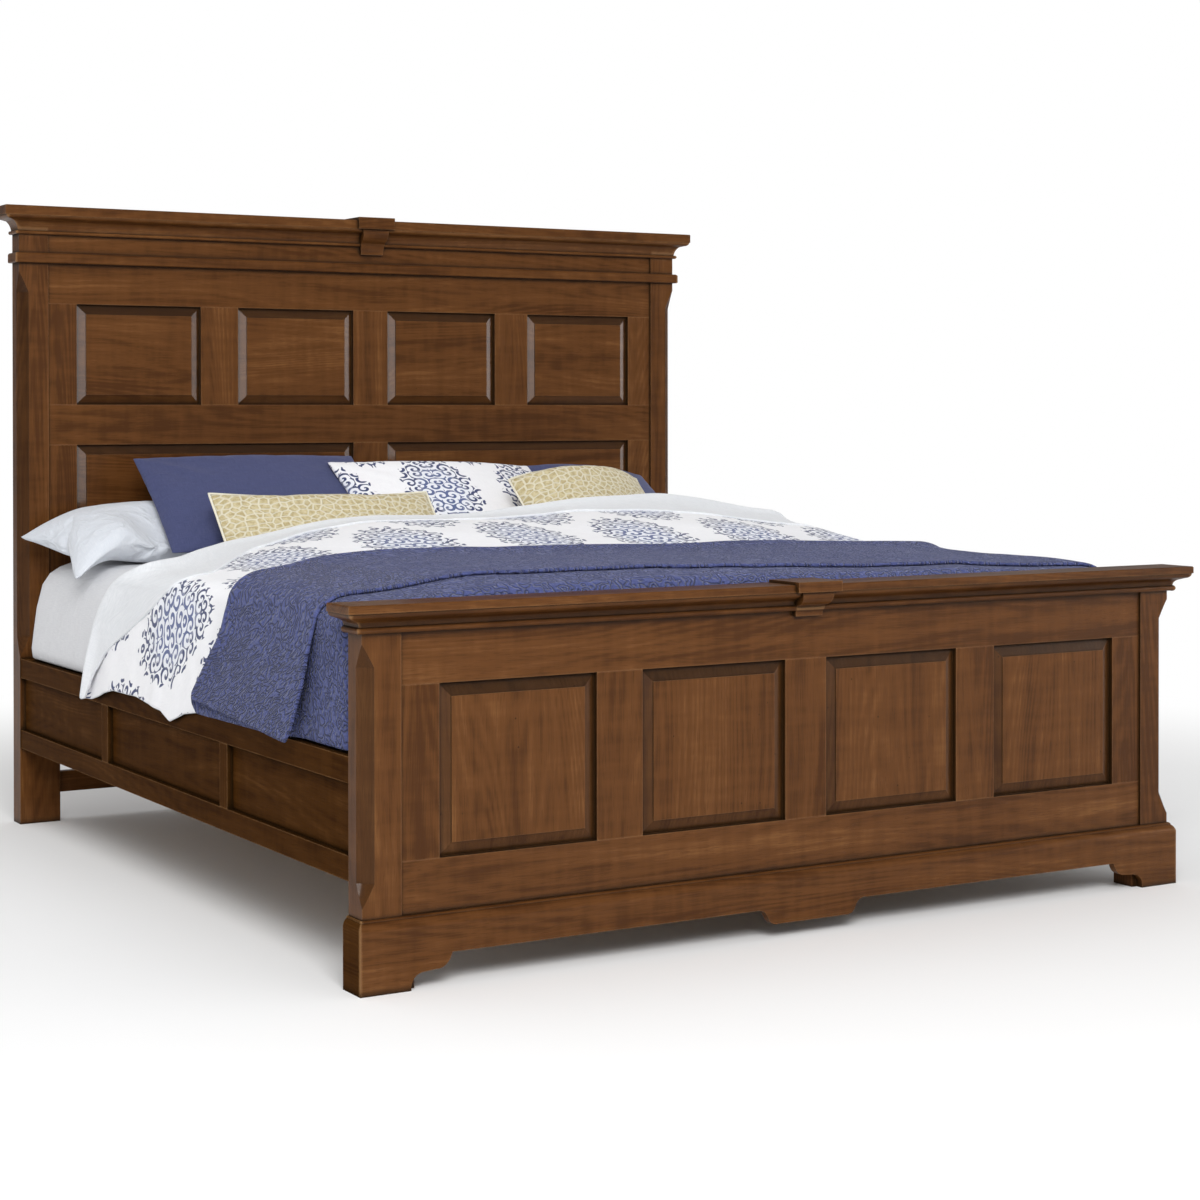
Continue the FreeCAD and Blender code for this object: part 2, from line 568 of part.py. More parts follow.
def cover_section(y, hem, side, crown, outside, inside):
    """One cross-section of a cover spread over the mattress. hem is the height of its lower
    edge, side the half width at the rails, crown the heights at left, middle and right;
    outside and inside move the two faces outwards."""
    left, middle, right = crown
    knee = RAIL_HIGH + 20

    edge = SHOULDER - 95           # where the top starts to turn down

    def face(out):
        """Half widths and heights from the hem up to the middle, moved outwards by out."""
        return {
            "hem": (side + out, hem - out * 0.1),
            "knee": (side + out, knee),
            "shoulder": (SHOULDER + out, MATTRESS_TOP - 25),
            "edge": (edge, left + out),
            "top": (0, middle + out),
            "far": (edge, right + out),
        }

    a = face(outside)
    b = face(inside)
    if inside <= 0:                # the under face of the lowest cover lies on the mattress
        b["edge"] = (edge, MATTRESS_TOP + SOFT_GAP)
        b["top"] = (0, MATTRESS_TOP + SOFT_GAP + 0.5)
        b["far"] = (edge, MATTRESS_TOP + SOFT_GAP)

    def bend(shoulder_at, edge_at):
        x = shoulder_at[0] - (shoulder_at[0] - edge_at[0]) * 0.26
        z = edge_at[1] - (edge_at[1] - shoulder_at[1]) * 0.24
        return x, z

    def west(p):
        return (-p[0], p[1])

    return outline(
        on_y(y), west(a["hem"]), west(a["knee"]), west(a["shoulder"]),
        (west(bend(a["shoulder"], a["edge"])), west(a["edge"])), (a["top"], a["far"]),
        (bend(a["shoulder"], a["far"]), a["shoulder"]), a["knee"], a["hem"],
        b["hem"], b["knee"], b["shoulder"],
        (bend(b["shoulder"], b["far"]), b["far"]), (b["top"], west(b["edge"])),
        (west(bend(b["shoulder"], b["edge"])), west(b["shoulder"])), west(b["knee"]))


# y, hem height, half width at the rails, crown heights left, middle and right
DUVET_STATIONS = (
    (-992, 452, 1028, (730, 742, 728)), (-840, 452, 1028, (734, 750, 734)),
    (-780, 436, 1032, (736, 754, 736)), (-420, 440, 1034, (740, 762, 742)),
    (-250, 440, 1034, (744, 772, 752)), (-160, 412, 1036, (746, 780, 764)),
    (-100, 404, 1040, (747, 786, 772)), (-40, 420, 1033, (748, 794, 780)),
    (46, 424, 1038, (750, 806, 792)), (150, 428, 1032, (752, 820, 804)),
    (240, 433, 1036, (752, 832, 816)), (306, 434, 1032, (750, 840, 832)),
    (358, 424, 1037, (744, 848, 846)), (382, 416, 1038, (736, 844, 840)),
    (402, 412, 1036, (722, 790, 780)), (414, 410, 1035, (712, 713, 712)),
    (432, 405, 1037, (711, 713, 711)), (446, 402, 1035, (711, 713, 711)),
)
DUVET_THICK = 9.0
QUILT_SINGLE = 10.0
QUILT_DOUBLE = 26.0
QUILT_FREE_EDGE = -860.0       # where the folded-back half of the quilt ends, near the footboard
QUILT_FOLD = -265.0            # the folded edge across the bed
# y, thickness, hem height
QUILT_STATIONS = (
    (-992, QUILT_SINGLE, 450), (QUILT_FREE_EDGE, QUILT_SINGLE, 450),
    (QUILT_FREE_EDGE + 6, QUILT_DOUBLE, 450), (-840, QUILT_DOUBLE, 450),
    (-790, QUILT_DOUBLE, 438), (-420, QUILT_DOUBLE, 442),
    (QUILT_FOLD, QUILT_DOUBLE, 450), (QUILT_FOLD + 14, QUILT_DOUBLE * 0.55, 454),
)


def duvet_at(y):
    """The duvet's half width at the rails and its crown at y, between its stations."""
    for a, b in zip(DUVET_STATIONS, DUVET_STATIONS[1:]):
        if a[0] <= y <= b[0]:
            share = (y - a[0]) / (b[0] - a[0])
            crown = tuple(p + share * (q - p) for p, q in zip(a[3], b[3]))
            return a[2] + share * (b[2] - a[2]), crown
    raise ValueError(y)


def make_duvet():
    wires = []
    for y, hem, side, crown in DUVET_STATIONS:
        wires.append(cover_section(y, hem, side, crown, DUVET_THICK, 0))
    parts["duvet"] = Part.makeLoft(wires, True, True)


def make_quilt():
    """The quilt lies over the foot end, folded double: one thickness next to the footboard."""
    wires = []
    near = DUVET_THICK + SOFT_GAP
    for y, thick, hem in QUILT_STATIONS:
        side, crown = duvet_at(y)
        wires.append(cover_section(y, hem, side, crown, near + thick, near))
    parts["quilt"] = Part.makeLoft(wires, True, True)


PLUMP = (0.08, 0.5, 0.8, 0.96, 1.0, 0.96, 0.8, 0.5, 0.08)   # thickness from end to end


def cushion(width, height, thickness, plump=PLUMP):
    """A cushion lying flat, centred on the origin: crowned, with its long sides drawn in."""
    wires = []
    last = len(plump) - 1
    for i, fullness in enumerate(plump):
        share = 2.0 * i / last - 1.0
        x = share * width / 2
        half = height / 2 * (0.93 + 0.07 * share ** 4)
        rise = thickness / 2 * fullness
        wires.append(outline(on_x(x), (-half, 0), ((0, rise), (half, 0)), ((0, -rise), (-half, 0))))
    return Part.makeLoft(wires, True, True)


def placed(shape, at, lean, turn=0.0, roll=0.0):
    """lean tips the far edge up, roll dips the right end, turn swings it about the vertical."""
    shape = shape.copy()
    origin = Vector(0, 0, 0)
    shape.rotate(origin, Vector(0, 1, 0), roll)
    shape.rotate(origin, Vector(1, 0, 0), lean)
    shape.rotate(origin, Vector(0, 0, 1), turn)
    shape.translate(Vector(*at))
    return shape


SLEEPING_PLUMP = (0.1, 0.62, 0.95, 0.75, 0.5, 0.42, 0.36, 0.28, 0.08)   # squashed under the sham
COVERED_PLUMP = (0.06, 0.2, 0.36, 0.5, 0.66, 0.9, 1.0, 0.7, 0.12)       # its inner end is covered


def make_pillows():
    """Two sleeping pillows lie flat; the shams lean back on them and the lumbar cushions on these."""
    sleeping = cushion(720.0, 420.0, 126.0, SLEEPING_PLUMP)
    other = cushion(720.0, 420.0, 72.0, SLEEPING_PLUMP[::-1])
    left = placed(sleeping, (-668.0, 806.0, 768.0), 6.0)
    right = placed(other, (668.0, 806.0, 744.0), 4.0)
    parts["sleeping_pillows"] = group([left, right])
    left = placed(cushion(650.0, 450.0, 80.0), (-440.0, 772.0, 856.0), 31.0)
    right = placed(cushion(650.0, 440.0, 74.0, COVERED_PLUMP), (505.0, 768.0, 842.0), 31.0)
    parts["shams"] = group([left, right])
    parts["centre_sham"] = placed(cushion(640.0, 400.0, 72.0), (88.0, 690.0, 844.0), 33.0, 0.0, 2.0)
    lumbar = cushion(600.0, 230.0, 72.0)
    left = placed(lumbar, (-364.0, 524.0, 808.0), 47.0, 0.0, 1.0)
    right = placed(lumbar, (432.0, 570.0, 860.0), 50.0, 14.0, 5.0)
    parts["lumbar_cushions"] = group([left, right])


make_headboard()
make_footboard()
make_side_rails()
make_base()
make_mattress()
make_duvet()
make_quilt()
make_pillows()

os.makedirs("parts", exist_ok=True)
for name, shape in parts.items():
    if not shape.isValid():
        print("not valid:", name)
    shape.exportStep(f"parts/{name}.step")
print(len(parts), "nodes")
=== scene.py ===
import json
import math

import bpy
import numpy as np
from mathutils import Euler, Matrix, Vector, noise


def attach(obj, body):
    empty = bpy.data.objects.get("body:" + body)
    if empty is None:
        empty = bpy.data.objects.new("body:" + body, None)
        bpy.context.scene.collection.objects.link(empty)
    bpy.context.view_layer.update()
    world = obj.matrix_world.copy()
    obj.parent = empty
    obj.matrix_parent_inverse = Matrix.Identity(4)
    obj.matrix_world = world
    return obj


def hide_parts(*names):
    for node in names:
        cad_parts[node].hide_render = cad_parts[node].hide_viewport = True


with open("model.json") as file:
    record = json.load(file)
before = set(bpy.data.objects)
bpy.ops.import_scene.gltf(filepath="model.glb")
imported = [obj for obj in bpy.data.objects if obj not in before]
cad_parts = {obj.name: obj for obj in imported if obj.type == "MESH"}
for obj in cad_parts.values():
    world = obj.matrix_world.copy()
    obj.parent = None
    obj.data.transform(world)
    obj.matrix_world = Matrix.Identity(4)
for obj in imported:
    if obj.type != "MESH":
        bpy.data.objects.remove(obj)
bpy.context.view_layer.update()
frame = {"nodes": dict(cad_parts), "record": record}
nodes = frame["nodes"]
print("frame loaded:", len(nodes), "nodes")


def placed(name, data):
    made = bpy.data.objects.new(name, data)
    bpy.context.scene.collection.objects.link(made)
    return made


# camera, from the photograph's perspective
photoCamera = {
    "place": (-2.9017, -5.0795, 1.0975),
    "yaw": 0.5385,             # from +Y towards +X, radians
    "pitch": 0.0082,           # below the horizon
    "roll": -0.0008,
    "focalPixels": 2350.1,     # in a frame 1200 pixels wide
    "axisPixel": (600.0, 429.94),
    "framePixels": 1200.0,
}


def placeCamera():
    c = photoCamera
    data = bpy.data.cameras.new("photoCamera")
    data.sensor_width = 36.0
    data.lens = c["focalPixels"] / c["framePixels"] * data.sensor_width
    data.shift_x = 0.5 - c["axisPixel"][0] / c["framePixels"]
    data.shift_y = c["axisPixel"][1] / c["framePixels"] - 0.5
    data.clip_end = 60.0
    camera = placed("photoCamera", data)
    turn = Euler((math.pi / 2 - c["pitch"], 0.0, -c["yaw"]), "XYZ").to_matrix()
    tilt = Euler((0.0, 0.0, c["roll"]), "XYZ").to_matrix()
    camera.rotation_euler = (turn @ tilt).to_euler()
    camera.location = c["place"]
    bpy.context.scene.camera = camera


placeCamera()
bpy.context.scene.view_settings.view_transform = "Standard"

# shader nodes
def plug(tree, sockets, values):
    # a value that is itself a socket is linked, and any other is set
    for key, value in values.items():
        socket = sockets[key]
        if isinstance(value, bpy.types.NodeSocket):
            tree.links.new(value, socket)
        elif socket.type == "RGBA" and len(value) == 3:
            socket.default_value = (*value, 1.0)
        else:
            socket.default_value = value


def add(tree, kind, inputs=None, **settings):
    made = tree.nodes.new("ShaderNode" + kind)
    for key, value in settings.items():
        setattr(made, key, value)
    plug(tree, made.inputs, inputs or {})
    return made


def calc(tree, operation, a, b=0.0, c=0.0, clamp=False):
    return add(tree, "Math", {0: a, 1: b, 2: c}, operation=operation, use_clamp=clamp).outputs[0]


def times(tree, a, b):
    return calc(tree, "MULTIPLY", a, b)


def scaled(tree, value, factor, offset):
    return calc(tree, "MULTIPLY_ADD", value, factor, offset)


def span(tree, value, low, high, start=0.0, end=1.0, smooth=True):
    # low..high of value becomes start..end, held at both ends
    kind = "SMOOTHSTEP" if smooth else "LINEAR"
    made = add(tree, "MapRange", {0: value, 1: low, 2: high, 3: start, 4: end}, interpolation_type=kind)
    return made.outputs[0]


def mix(tree, share, a, b, blend="MIX"):
    return add(tree, "Mix", {0: share, 6: a, 7: b}, data_type="RGBA", blend_type=blend).outputs[2]


def vectorOf(tree, x=0.0, y=0.0, z=0.0):
    return add(tree, "CombineXYZ", {0: x, 1: y, 2: z}).outputs[0]


def partsOf(tree, vector):
    return add(tree, "SeparateXYZ", {0: vector}).outputs


def moved(tree, vector, offset, operation="ADD"):
    return add(tree, "VectorMath", {0: vector, 1: offset}, operation=operation).outputs[0]


def stretched(tree, vector, scale):
    return moved(tree, vector, scale, "MULTIPLY")


def objectPlace(tree):
    return add(tree, "TexCoord").outputs["Object"]


def noiseOf(tree, vector, scale, detail=2.0, roughness=0.5, distortion=0.0):
    inputs = {"Vector": vector, "Scale": scale, "Detail": detail, "Roughness": roughness,
              "Distortion": distortion}
    return add(tree, "TexNoise", inputs).outputs["Fac"]


def newGroup(name, inputs, outputs):
    # outputs are the names of plain numbers
    tree = bpy.data.node_groups.new(name, "ShaderNodeTree")
    for label, kind, value in inputs:
        socket = tree.interface.new_socket(label, in_out="INPUT", socket_type="NodeSocket" + kind)
        if value is not None:
            socket.default_value = value
    for label in outputs:
        tree.interface.new_socket(label, in_out="OUTPUT", socket_type="NodeSocketFloat")
    source = tree.nodes.new("NodeGroupInput")
    result = tree.nodes.new("NodeGroupOutput")
    return tree, source.outputs, result.inputs


def useGroup(tree, group, inputs):
    made = tree.nodes.new("ShaderNodeGroup")
    made.node_tree = group
    plug(tree, made.inputs, inputs)
    return made.outputs


def newMaterial(name):
    material = bpy.data.materials.new(name)
    material.use_nodes = True
    tree = material.node_tree
    tree.nodes.clear()
    shader = add(tree, "BsdfPrincipled")
    result = add(tree, "OutputMaterial", {"Surface": shader.outputs[0]})
    return material, tree, shader, result


def bumped(tree, shader, height, distance, strength=1.0, normal=None):
    inputs = {"Height": height, "Distance": distance, "Strength": strength}
    if normal is not None:
        inputs["Normal"] = normal
    made = add(tree, "Bump", inputs)
    tree.links.new(made.outputs[0], shader.inputs["Normal"])
    return made.outputs[0]


# wood
boardFigure = {
    # noise cells per metre along, across and through a board
    "wander": (1.6, 5.0, 5.0), "streak": (1.3, 21.0, 21.0), "rings": (0.55, 5.5, 5.5),
    "fibre": (10.0, 420.0, 420.0), "pores": (26.0, 900.0, 900.0), "curl": (34.0, 6.0, 6.0),
    "ringPhase": 210.0,
    "apart": (17.3, 5.1, 9.7),         # how far boards are moved apart in the figure
}


def makeBoardGrain():
    # the figure of a board whose grain runs along the vector's X, in metres
    tree, given, result = newGroup(
        "boardGrain", [("Vector", "Vector", None), ("Shift", "Float", 0.0)],
        ["Streak", "Rings", "Fibre", "Pores", "Curl"])
    shift = vectorOf(tree, given["Shift"], given["Shift"], given["Shift"])
    at = moved(tree, given["Vector"], stretched(tree, shift, boardFigure["apart"]))

    def figure(kind, detail, roughness=0.5):
        return noiseOf(tree, stretched(tree, at, boardFigure[kind]), 1.0, detail, roughness)

    wander = figure("wander", 1.0)
    at = moved(tree, at, vectorOf(tree, 0.0, times(tree, wander, 0.05), times(tree, wander, 0.03)))
    rings = calc(tree, "SINE", times(tree, figure("rings", 1.2), boardFigure["ringPhase"]))
    plug(tree, result, {
        "Streak": figure("streak", 5.0, 0.62), "Fibre": figure("fibre", 2.0, 0.6),
        "Curl": figure("curl", 2.0, 0.55), "Rings": scaled(tree, rings, 0.5, 0.5),
        "Pores": span(tree, figure("pores", 0.0), 0.60, 0.70),
    })
    return tree


# how far around a point the painted shade and the painted edge highlight look for other wood, in metres
paintedLightReach = {"hollow": 0.024, "crevice": 0.008, "edge": 0.006}


def makePaintedLight():
    # painted shade in the corners and grooves, and a painted highlight that makes the outer edges paler
    tree, given, result = newGroup("paintedShade", [("Vector", "Vector", None)], ["RecessShade", "EdgeHighlight"])

    def openness(kind, samples, inside=False):
        return add(tree, "AmbientOcclusion", {"Distance": paintedLightReach[kind]}, samples=samples,
                   inside=inside).outputs["AO"]

    patchy = noiseOf(tree, given["Vector"], 24.0, 3.0)
    hollow = calc(tree, "ADD", openness("hollow", 6), scaled(tree, patchy, 0.22, -0.11))
    edge = calc(tree, "ADD", openness("edge", 4, True), scaled(tree, patchy, 0.5, -0.25))
    line = span(tree, openness("crevice", 4), 0.88, 0.60)
    plug(tree, result, {
        "RecessShade": calc(tree, "MAXIMUM", span(tree, hollow, 0.50, 0.86, 1.0, 0.0), line),
        "EdgeHighlight": span(tree, edge, 0.55, 0.25),
    })
    return tree


boardGrain = makeBoardGrain()
paintedShade = makePaintedLight()

# the darkest colour serves painted shade in hollows and dark flecks; the palest edge colour and its share
# give a painted highlight on the edges
walnutLook = {
    "deep": (0.056, 0.0195, 0.0045), "mid": (0.100, 0.0375, 0.0095), "pale": (0.160, 0.067, 0.020),
    "paintedShade": (0.013, 0.0065, 0.0022), "highlightTint": (0.27, 0.145, 0.062), "highlightShare": 0.6, "shine": 0.04, "coat": 0.18,
}
# a darker copy of the walnut for the side rails and plinth returns, painted shade of faces turned from the
# light, with less shine
shadedRailLook = dict(walnutLook, deep=(0.034, 0.0120, 0.0022), mid=(0.058, 0.022, 0.0045),
                pale=(0.092, 0.038, 0.010), highlightShare=0.9, shine=0.003, coat=0.0)


def woodMaterial(name, along, look, specks=0.0, tone=0.0, slopeShade=0.0, ledgeShadow=1.0):
    # specks is the share of cells with a dark fleck; the slope setting is how far painted shade darkens
    # slopes and hollows, and the ledge setting how much more painted shadow it adds where they face up
    material, tree, shader, _ = newMaterial(name)
    place = objectPlace(tree)
    order = {"X": (0, 1, 2), "Y": (1, 2, 0), "Z": (2, 0, 1)}[along]
    split = partsOf(tree, place)
    turned = vectorOf(tree, *(split[i] for i in order))
    own = add(tree, "ObjectInfo").outputs["Random"]
    grain = useGroup(tree, boardGrain, {"Vector": turned, "Shift": own})
    paintedLightMasks = useGroup(tree, paintedShade, {"Vector": place})
    body = times(tree, grain["Streak"], 1.25)
    for part, factor, offset in ((grain["Rings"], 0.13, -0.13), (grain["Curl"], 0.35, -0.175),
                                 (own, 0.14, tone - 0.07), (grain["Fibre"], 0.30, -0.15)):
        body = calc(tree, "ADD", body, scaled(tree, part, factor, offset))
    colour = mix(tree, span(tree, body, 0.30, 0.62), look["deep"], look["mid"])
    colour = mix(tree, span(tree, body, 0.60, 0.98), colour, look["pale"])
    colour = mix(tree, times(tree, grain["Pores"], 0.45), colour, look["deep"])
    if specks:
        cells = add(tree, "TexVoronoi", {"Vector": turned, "Scale": 34.0}).outputs
        thin = add(tree, "SeparateColor", {0: cells["Color"]}).outputs[0]
        spot = times(tree, span(tree, cells["Distance"], 0.085, 0.03),
                     span(tree, thin, 1.0 - specks, 1.02 - specks))
        colour = mix(tree, times(tree, spot, 0.8), colour, look["paintedShade"])
    # painted highlight: convex edges made paler
    colour = mix(tree, times(tree, paintedLightMasks["EdgeHighlight"], look["highlightShare"]), colour, look["highlightTint"])
    # painted shade: hollows and grooves made darker
    colour = mix(tree, times(tree, paintedLightMasks["RecessShade"], 0.95), colour, look["paintedShade"])
    # painted shade on slopes and coves by their facing, and painted shadow on slopes that face up
    if slopeShade:
        facing = partsOf(tree, add(tree, "TexCoord").outputs["Normal"])
        square = [calc(tree, "ABSOLUTE", facing[i]) for i in range(3)]
        square = calc(tree, "MAXIMUM", square[0], calc(tree, "MAXIMUM", square[1], square[2]))
        slopeShading = calc(tree, "MULTIPLY", span(tree, square, 0.990, 0.975, 0.0, slopeShade),
                      span(tree, facing[2], 0.05, 0.20, 1.0, ledgeShadow), clamp=True)
        colour = mix(tree, slopeShading, colour, look["paintedShade"])
    plug(tree, shader.inputs, {
        "Base Color": colour,
        "Roughness": calc(tree, "ADD", scaled(tree, grain["Fibre"], 0.12, 0.34),
                          times(tree, paintedLightMasks["RecessShade"], 0.2)),
        "Specular IOR Level": look["shine"], "Coat Weight": look["coat"], "Coat Roughness": 0.15,
    })
    bumped(tree, shader, calc(tree, "SUBTRACT", grain["Fibre"], grain["Pores"]), 0.00018, 0.7)
    return material


# what the boards of each end look like, and the single boards that are paler or darker than the rest
endLooks = {
    "headboard": {"short": "Head", "tone": 0.0, "panelGrain": "X",
                  "panel": {"specks": 0.05, "tone": -0.01, "slopeShade": 0.35, "ledgeShadow": 1.9}},
    "footboard": {"short": "Foot", "tone": -0.05, "panelGrain": "Z",
                  "panel": {"specks": 0.42, "slopeShade": 0.40, "ledgeShadow": 1.9}},
}
# the footboard top rail is darker partly in its own tone and partly as painted shadow under the crown
boardToneAndShadow = {"footboard_top_rail": -0.14, "headboard_middle_rail": 0.07, "headboard_crown_moulding": 0.07}
verticalBoards = ("muntin", "stile")
# painted shade on the posts' chamfers
postSlopeShade = 0.45
softEdge = {"width": 0.0014, "segments": 2, "limit_method": "ANGLE", "angle_limit": 0.5}


def dressWood():
    boards, panels, posts = {}, {}, {}
    for end, look in endLooks.items():
        short, tone = look["short"], look["tone"]
        for along in "XZ":
            boards[end, along] = woodMaterial("walnut" + short + along, along, walnutLook, tone=tone)
        panels[end] = woodMaterial("panel" + short, look["panelGrain"], walnutLook, **look["panel"])
        posts[end] = woodMaterial("post" + short, "Z", walnutLook, tone=tone, slopeShade=postSlopeShade)
    toned = {tone: woodMaterial("walnutToneAndShadow%+d" % round(tone * 100), "X", walnutLook, tone=tone)
             for tone in sorted(set(boardToneAndShadow.values()))}
    # the rails and plinth returns take the darker copy, as painted shade
    rails = {along: woodMaterial("shadedRailWalnut" + along, along, shadedRailLook) for along in "YZ"}
    for name, node in nodes.items():
        if slotOf(name) != "walnut_brown":
            continue
        end = name.split("_")[0]
        if end not in endLooks or name.endswith("plinth_returns"):
            material = rails["Z" if "divider" in name else "Y"]
        elif "panel" in name:
            material = panels[end]
        elif name.endswith("post"):
            material = posts[end]
        elif name in boardToneAndShadow:
            material = toned[boardToneAndShadow[name]]
        else:
            material = boards[end, "Z" if any(word in name for word in verticalBoards) else "X"]
        paint(node, material)
        bevel = node.modifiers.new("softEdges", "BEVEL")
        for key, value in softEdge.items():
            setattr(bevel, key, value)


def slotOf(name):
    return next(p["material_slot"] for p in frame["record"]["subparts"] if p["node"] == name)


def paint(piece, material):
    slots = piece.data.materials
    if not slots:
        slots.append(material)
    for i in range(len(slots)):
        slots[i] = material


dressWood()
print("wood done")


# softwood base, steel fittings and levelling feet
# as for walnut, the darkest colour serves painted shade and the palest a painted edge highlight
pineLook = {
    "deep": (0.36, 0.205, 0.095), "mid": (0.52, 0.345, 0.175), "pale": (0.66, 0.485, 0.29),
    "paintedShade": (0.20, 0.12, 0.06), "highlightTint": (0.66, 0.5, 0.32), "highlightShare": 0.3, "shine": 0.15, "coat": 0.0,
}


def steelMaterial():
    material, tree, shader, _ = newMaterial("zincSteel")
    place = objectPlace(tree)
    spangle = add(tree, "TexVoronoi", {"Vector": place, "Scale": 210.0}).outputs["Color"]
    cloud = noiseOf(tree, place, 60.0, 4.0)
    shade = add(tree, "SeparateColor", {0: spangle}).outputs[0]
    plug(tree, shader.inputs, {
        "Base Color": mix(tree, shade, (0.46, 0.47, 0.48), (0.66, 0.67, 0.69)),
        "Roughness": span(tree, cloud, 0.3, 0.7, 0.28, 0.46), "Metallic": 1.0,
    })
    bumped(tree, shader, cloud, 0.0002, 0.5)
    return material


def footMaterial():
    material, tree, shader, _ = newMaterial("footPlastic")
    place = objectPlace(tree)
    pebble, scuff = noiseOf(tree, place, 900.0, 2.0), noiseOf(tree, place, 70.0, 3.0)
    plug(tree, shader.inputs, {
        "Base Color": mix(tree, span(tree, scuff, 0.5, 0.75), (0.022, 0.022, 0.024), (0.06, 0.06, 0.062)),
        "Roughness": span(tree, scuff, 0.3, 0.8, 0.48, 0.66),
    })
    bumped(tree, shader, pebble, 0.0001, 0.6)
    return material


def dressBase():
    pine = {along: woodMaterial("pine" + along, along, pineLook) for along in "XYZ"}
    steel, plastic = steelMaterial(), footMaterial()
    for name, node in nodes.items():
        slotName = slotOf(name)
        if slotName == "base_pine":
            paint(node, pine[{"slats": "X", "centre_legs": "Z"}.get(name, "Y")])
        elif slotName == "zinc_steel":
            paint(node, steel)
        elif slotName == "leveller_black":
            paint(node, plastic)


dressBase()
print("base done")


# cloth
def makeWeave():
    # a plain weave, from flat cloth coordinates in metres
    tree, given, result = newGroup(
        "weave", [("Vector", "Vector", None), ("Threads", "Float", 900.0)], ["Height", "Slub"])
    split = partsOf(tree, given["Vector"])
    turns = times(tree, given["Threads"], math.pi)
    warp, weft = (calc(tree, "SINE", times(tree, split[i], turns)) for i in (0, 1))
    slubs = [noiseOf(tree, stretched(tree, given["Vector"], scale), 1.0, 2.0)
             for scale in ((30.0, 700.0, 1.0), (700.0, 30.0, 1.0))]
    plug(tree, result, {"Height": scaled(tree, times(tree, warp, weft), 0.5, 0.5),
                        "Slub": times(tree, calc(tree, "ADD", *slubs), 0.5)})
    return tree


def makeCrush():
    # small soft creases in washed cotton, in metres
    tree, given, result = newGroup(
        "crush", [("Vector", "Vector", None), ("Size", "Float", 9.0)], ["Height"])
    bend = noiseOf(tree, given["Vector"], 5.0, 1.0)
    at = moved(tree, given["Vector"], stretched(tree, vectorOf(tree, bend, bend), (0.06, 0.05, 0.0)))
    soft = noiseOf(tree, at, given["Size"], 3.0, 0.5, 0.4)
    ridge = calc(tree, "SUBTRACT", 1.0, calc(tree, "ABSOLUTE", scaled(tree, soft, 4.0, -2.0)), clamp=True)
    broad = noiseOf(tree, at, times(tree, given["Size"], 0.4), 2.0)
    plug(tree, result, {"Height": scaled(tree, calc(tree, "POWER", ridge, 2.5), 0.35, broad)})
    return tree


weave = makeWeave()
crush = makeCrush()


def clothMaterial(name, colours, threads=900.0, creases=0.0025, size=9.0, sheen=0.25, pattern=None):
    # colours is the cloth's two thread tints; pattern changes the colour and may add relief
    material, tree, shader, _ = newMaterial(name)
    flat = add(tree, "UVMap", uv_map="flat").outputs[0]
    woven = useGroup(tree, weave, {"Vector": flat, "Threads": threads})
    height = useGroup(tree, crush, {"Vector": flat, "Size": size})["Height"]
    colour = mix(tree, span(tree, woven["Slub"], 0.38, 0.62), *colours)
    if pattern is not None:
        colour, relief = pattern(tree, flat, colour)
        if relief is not None:
            height = scaled(tree, relief[0], relief[1] / creases, height)
    plug(tree, shader.inputs, {"Base Color": colour, "Roughness": 0.82, "Specular IOR Level": 0.3,
                               "Sheen Weight": sheen, "Sheen Roughness": 0.45})
    fine = add(tree, "Bump", {"Height": woven["Height"], "Distance": 0.00012, "Strength": 0.6}).outputs[0]
    bumped(tree, shader, height, creases, 1.0, fine)
    return material


medallionLook = {
    "across": 0.335, "along": 0.74,            # lattice pitches, every second row half a step across
    "shift": (0.065, 0.0, 0.0),
    "halfWidth": 0.122, "halfLength": 0.215, "roundness": 1.75, "lobes": 20.0, "lobeDepth": 0.07,
    "curls": 26.0, "windings": 1.8,
    "bold": (0.030, 0.044, 0.130), "light": (0.085, 0.115, 0.26), "wash": (0.62, 0.67, 0.80),
}


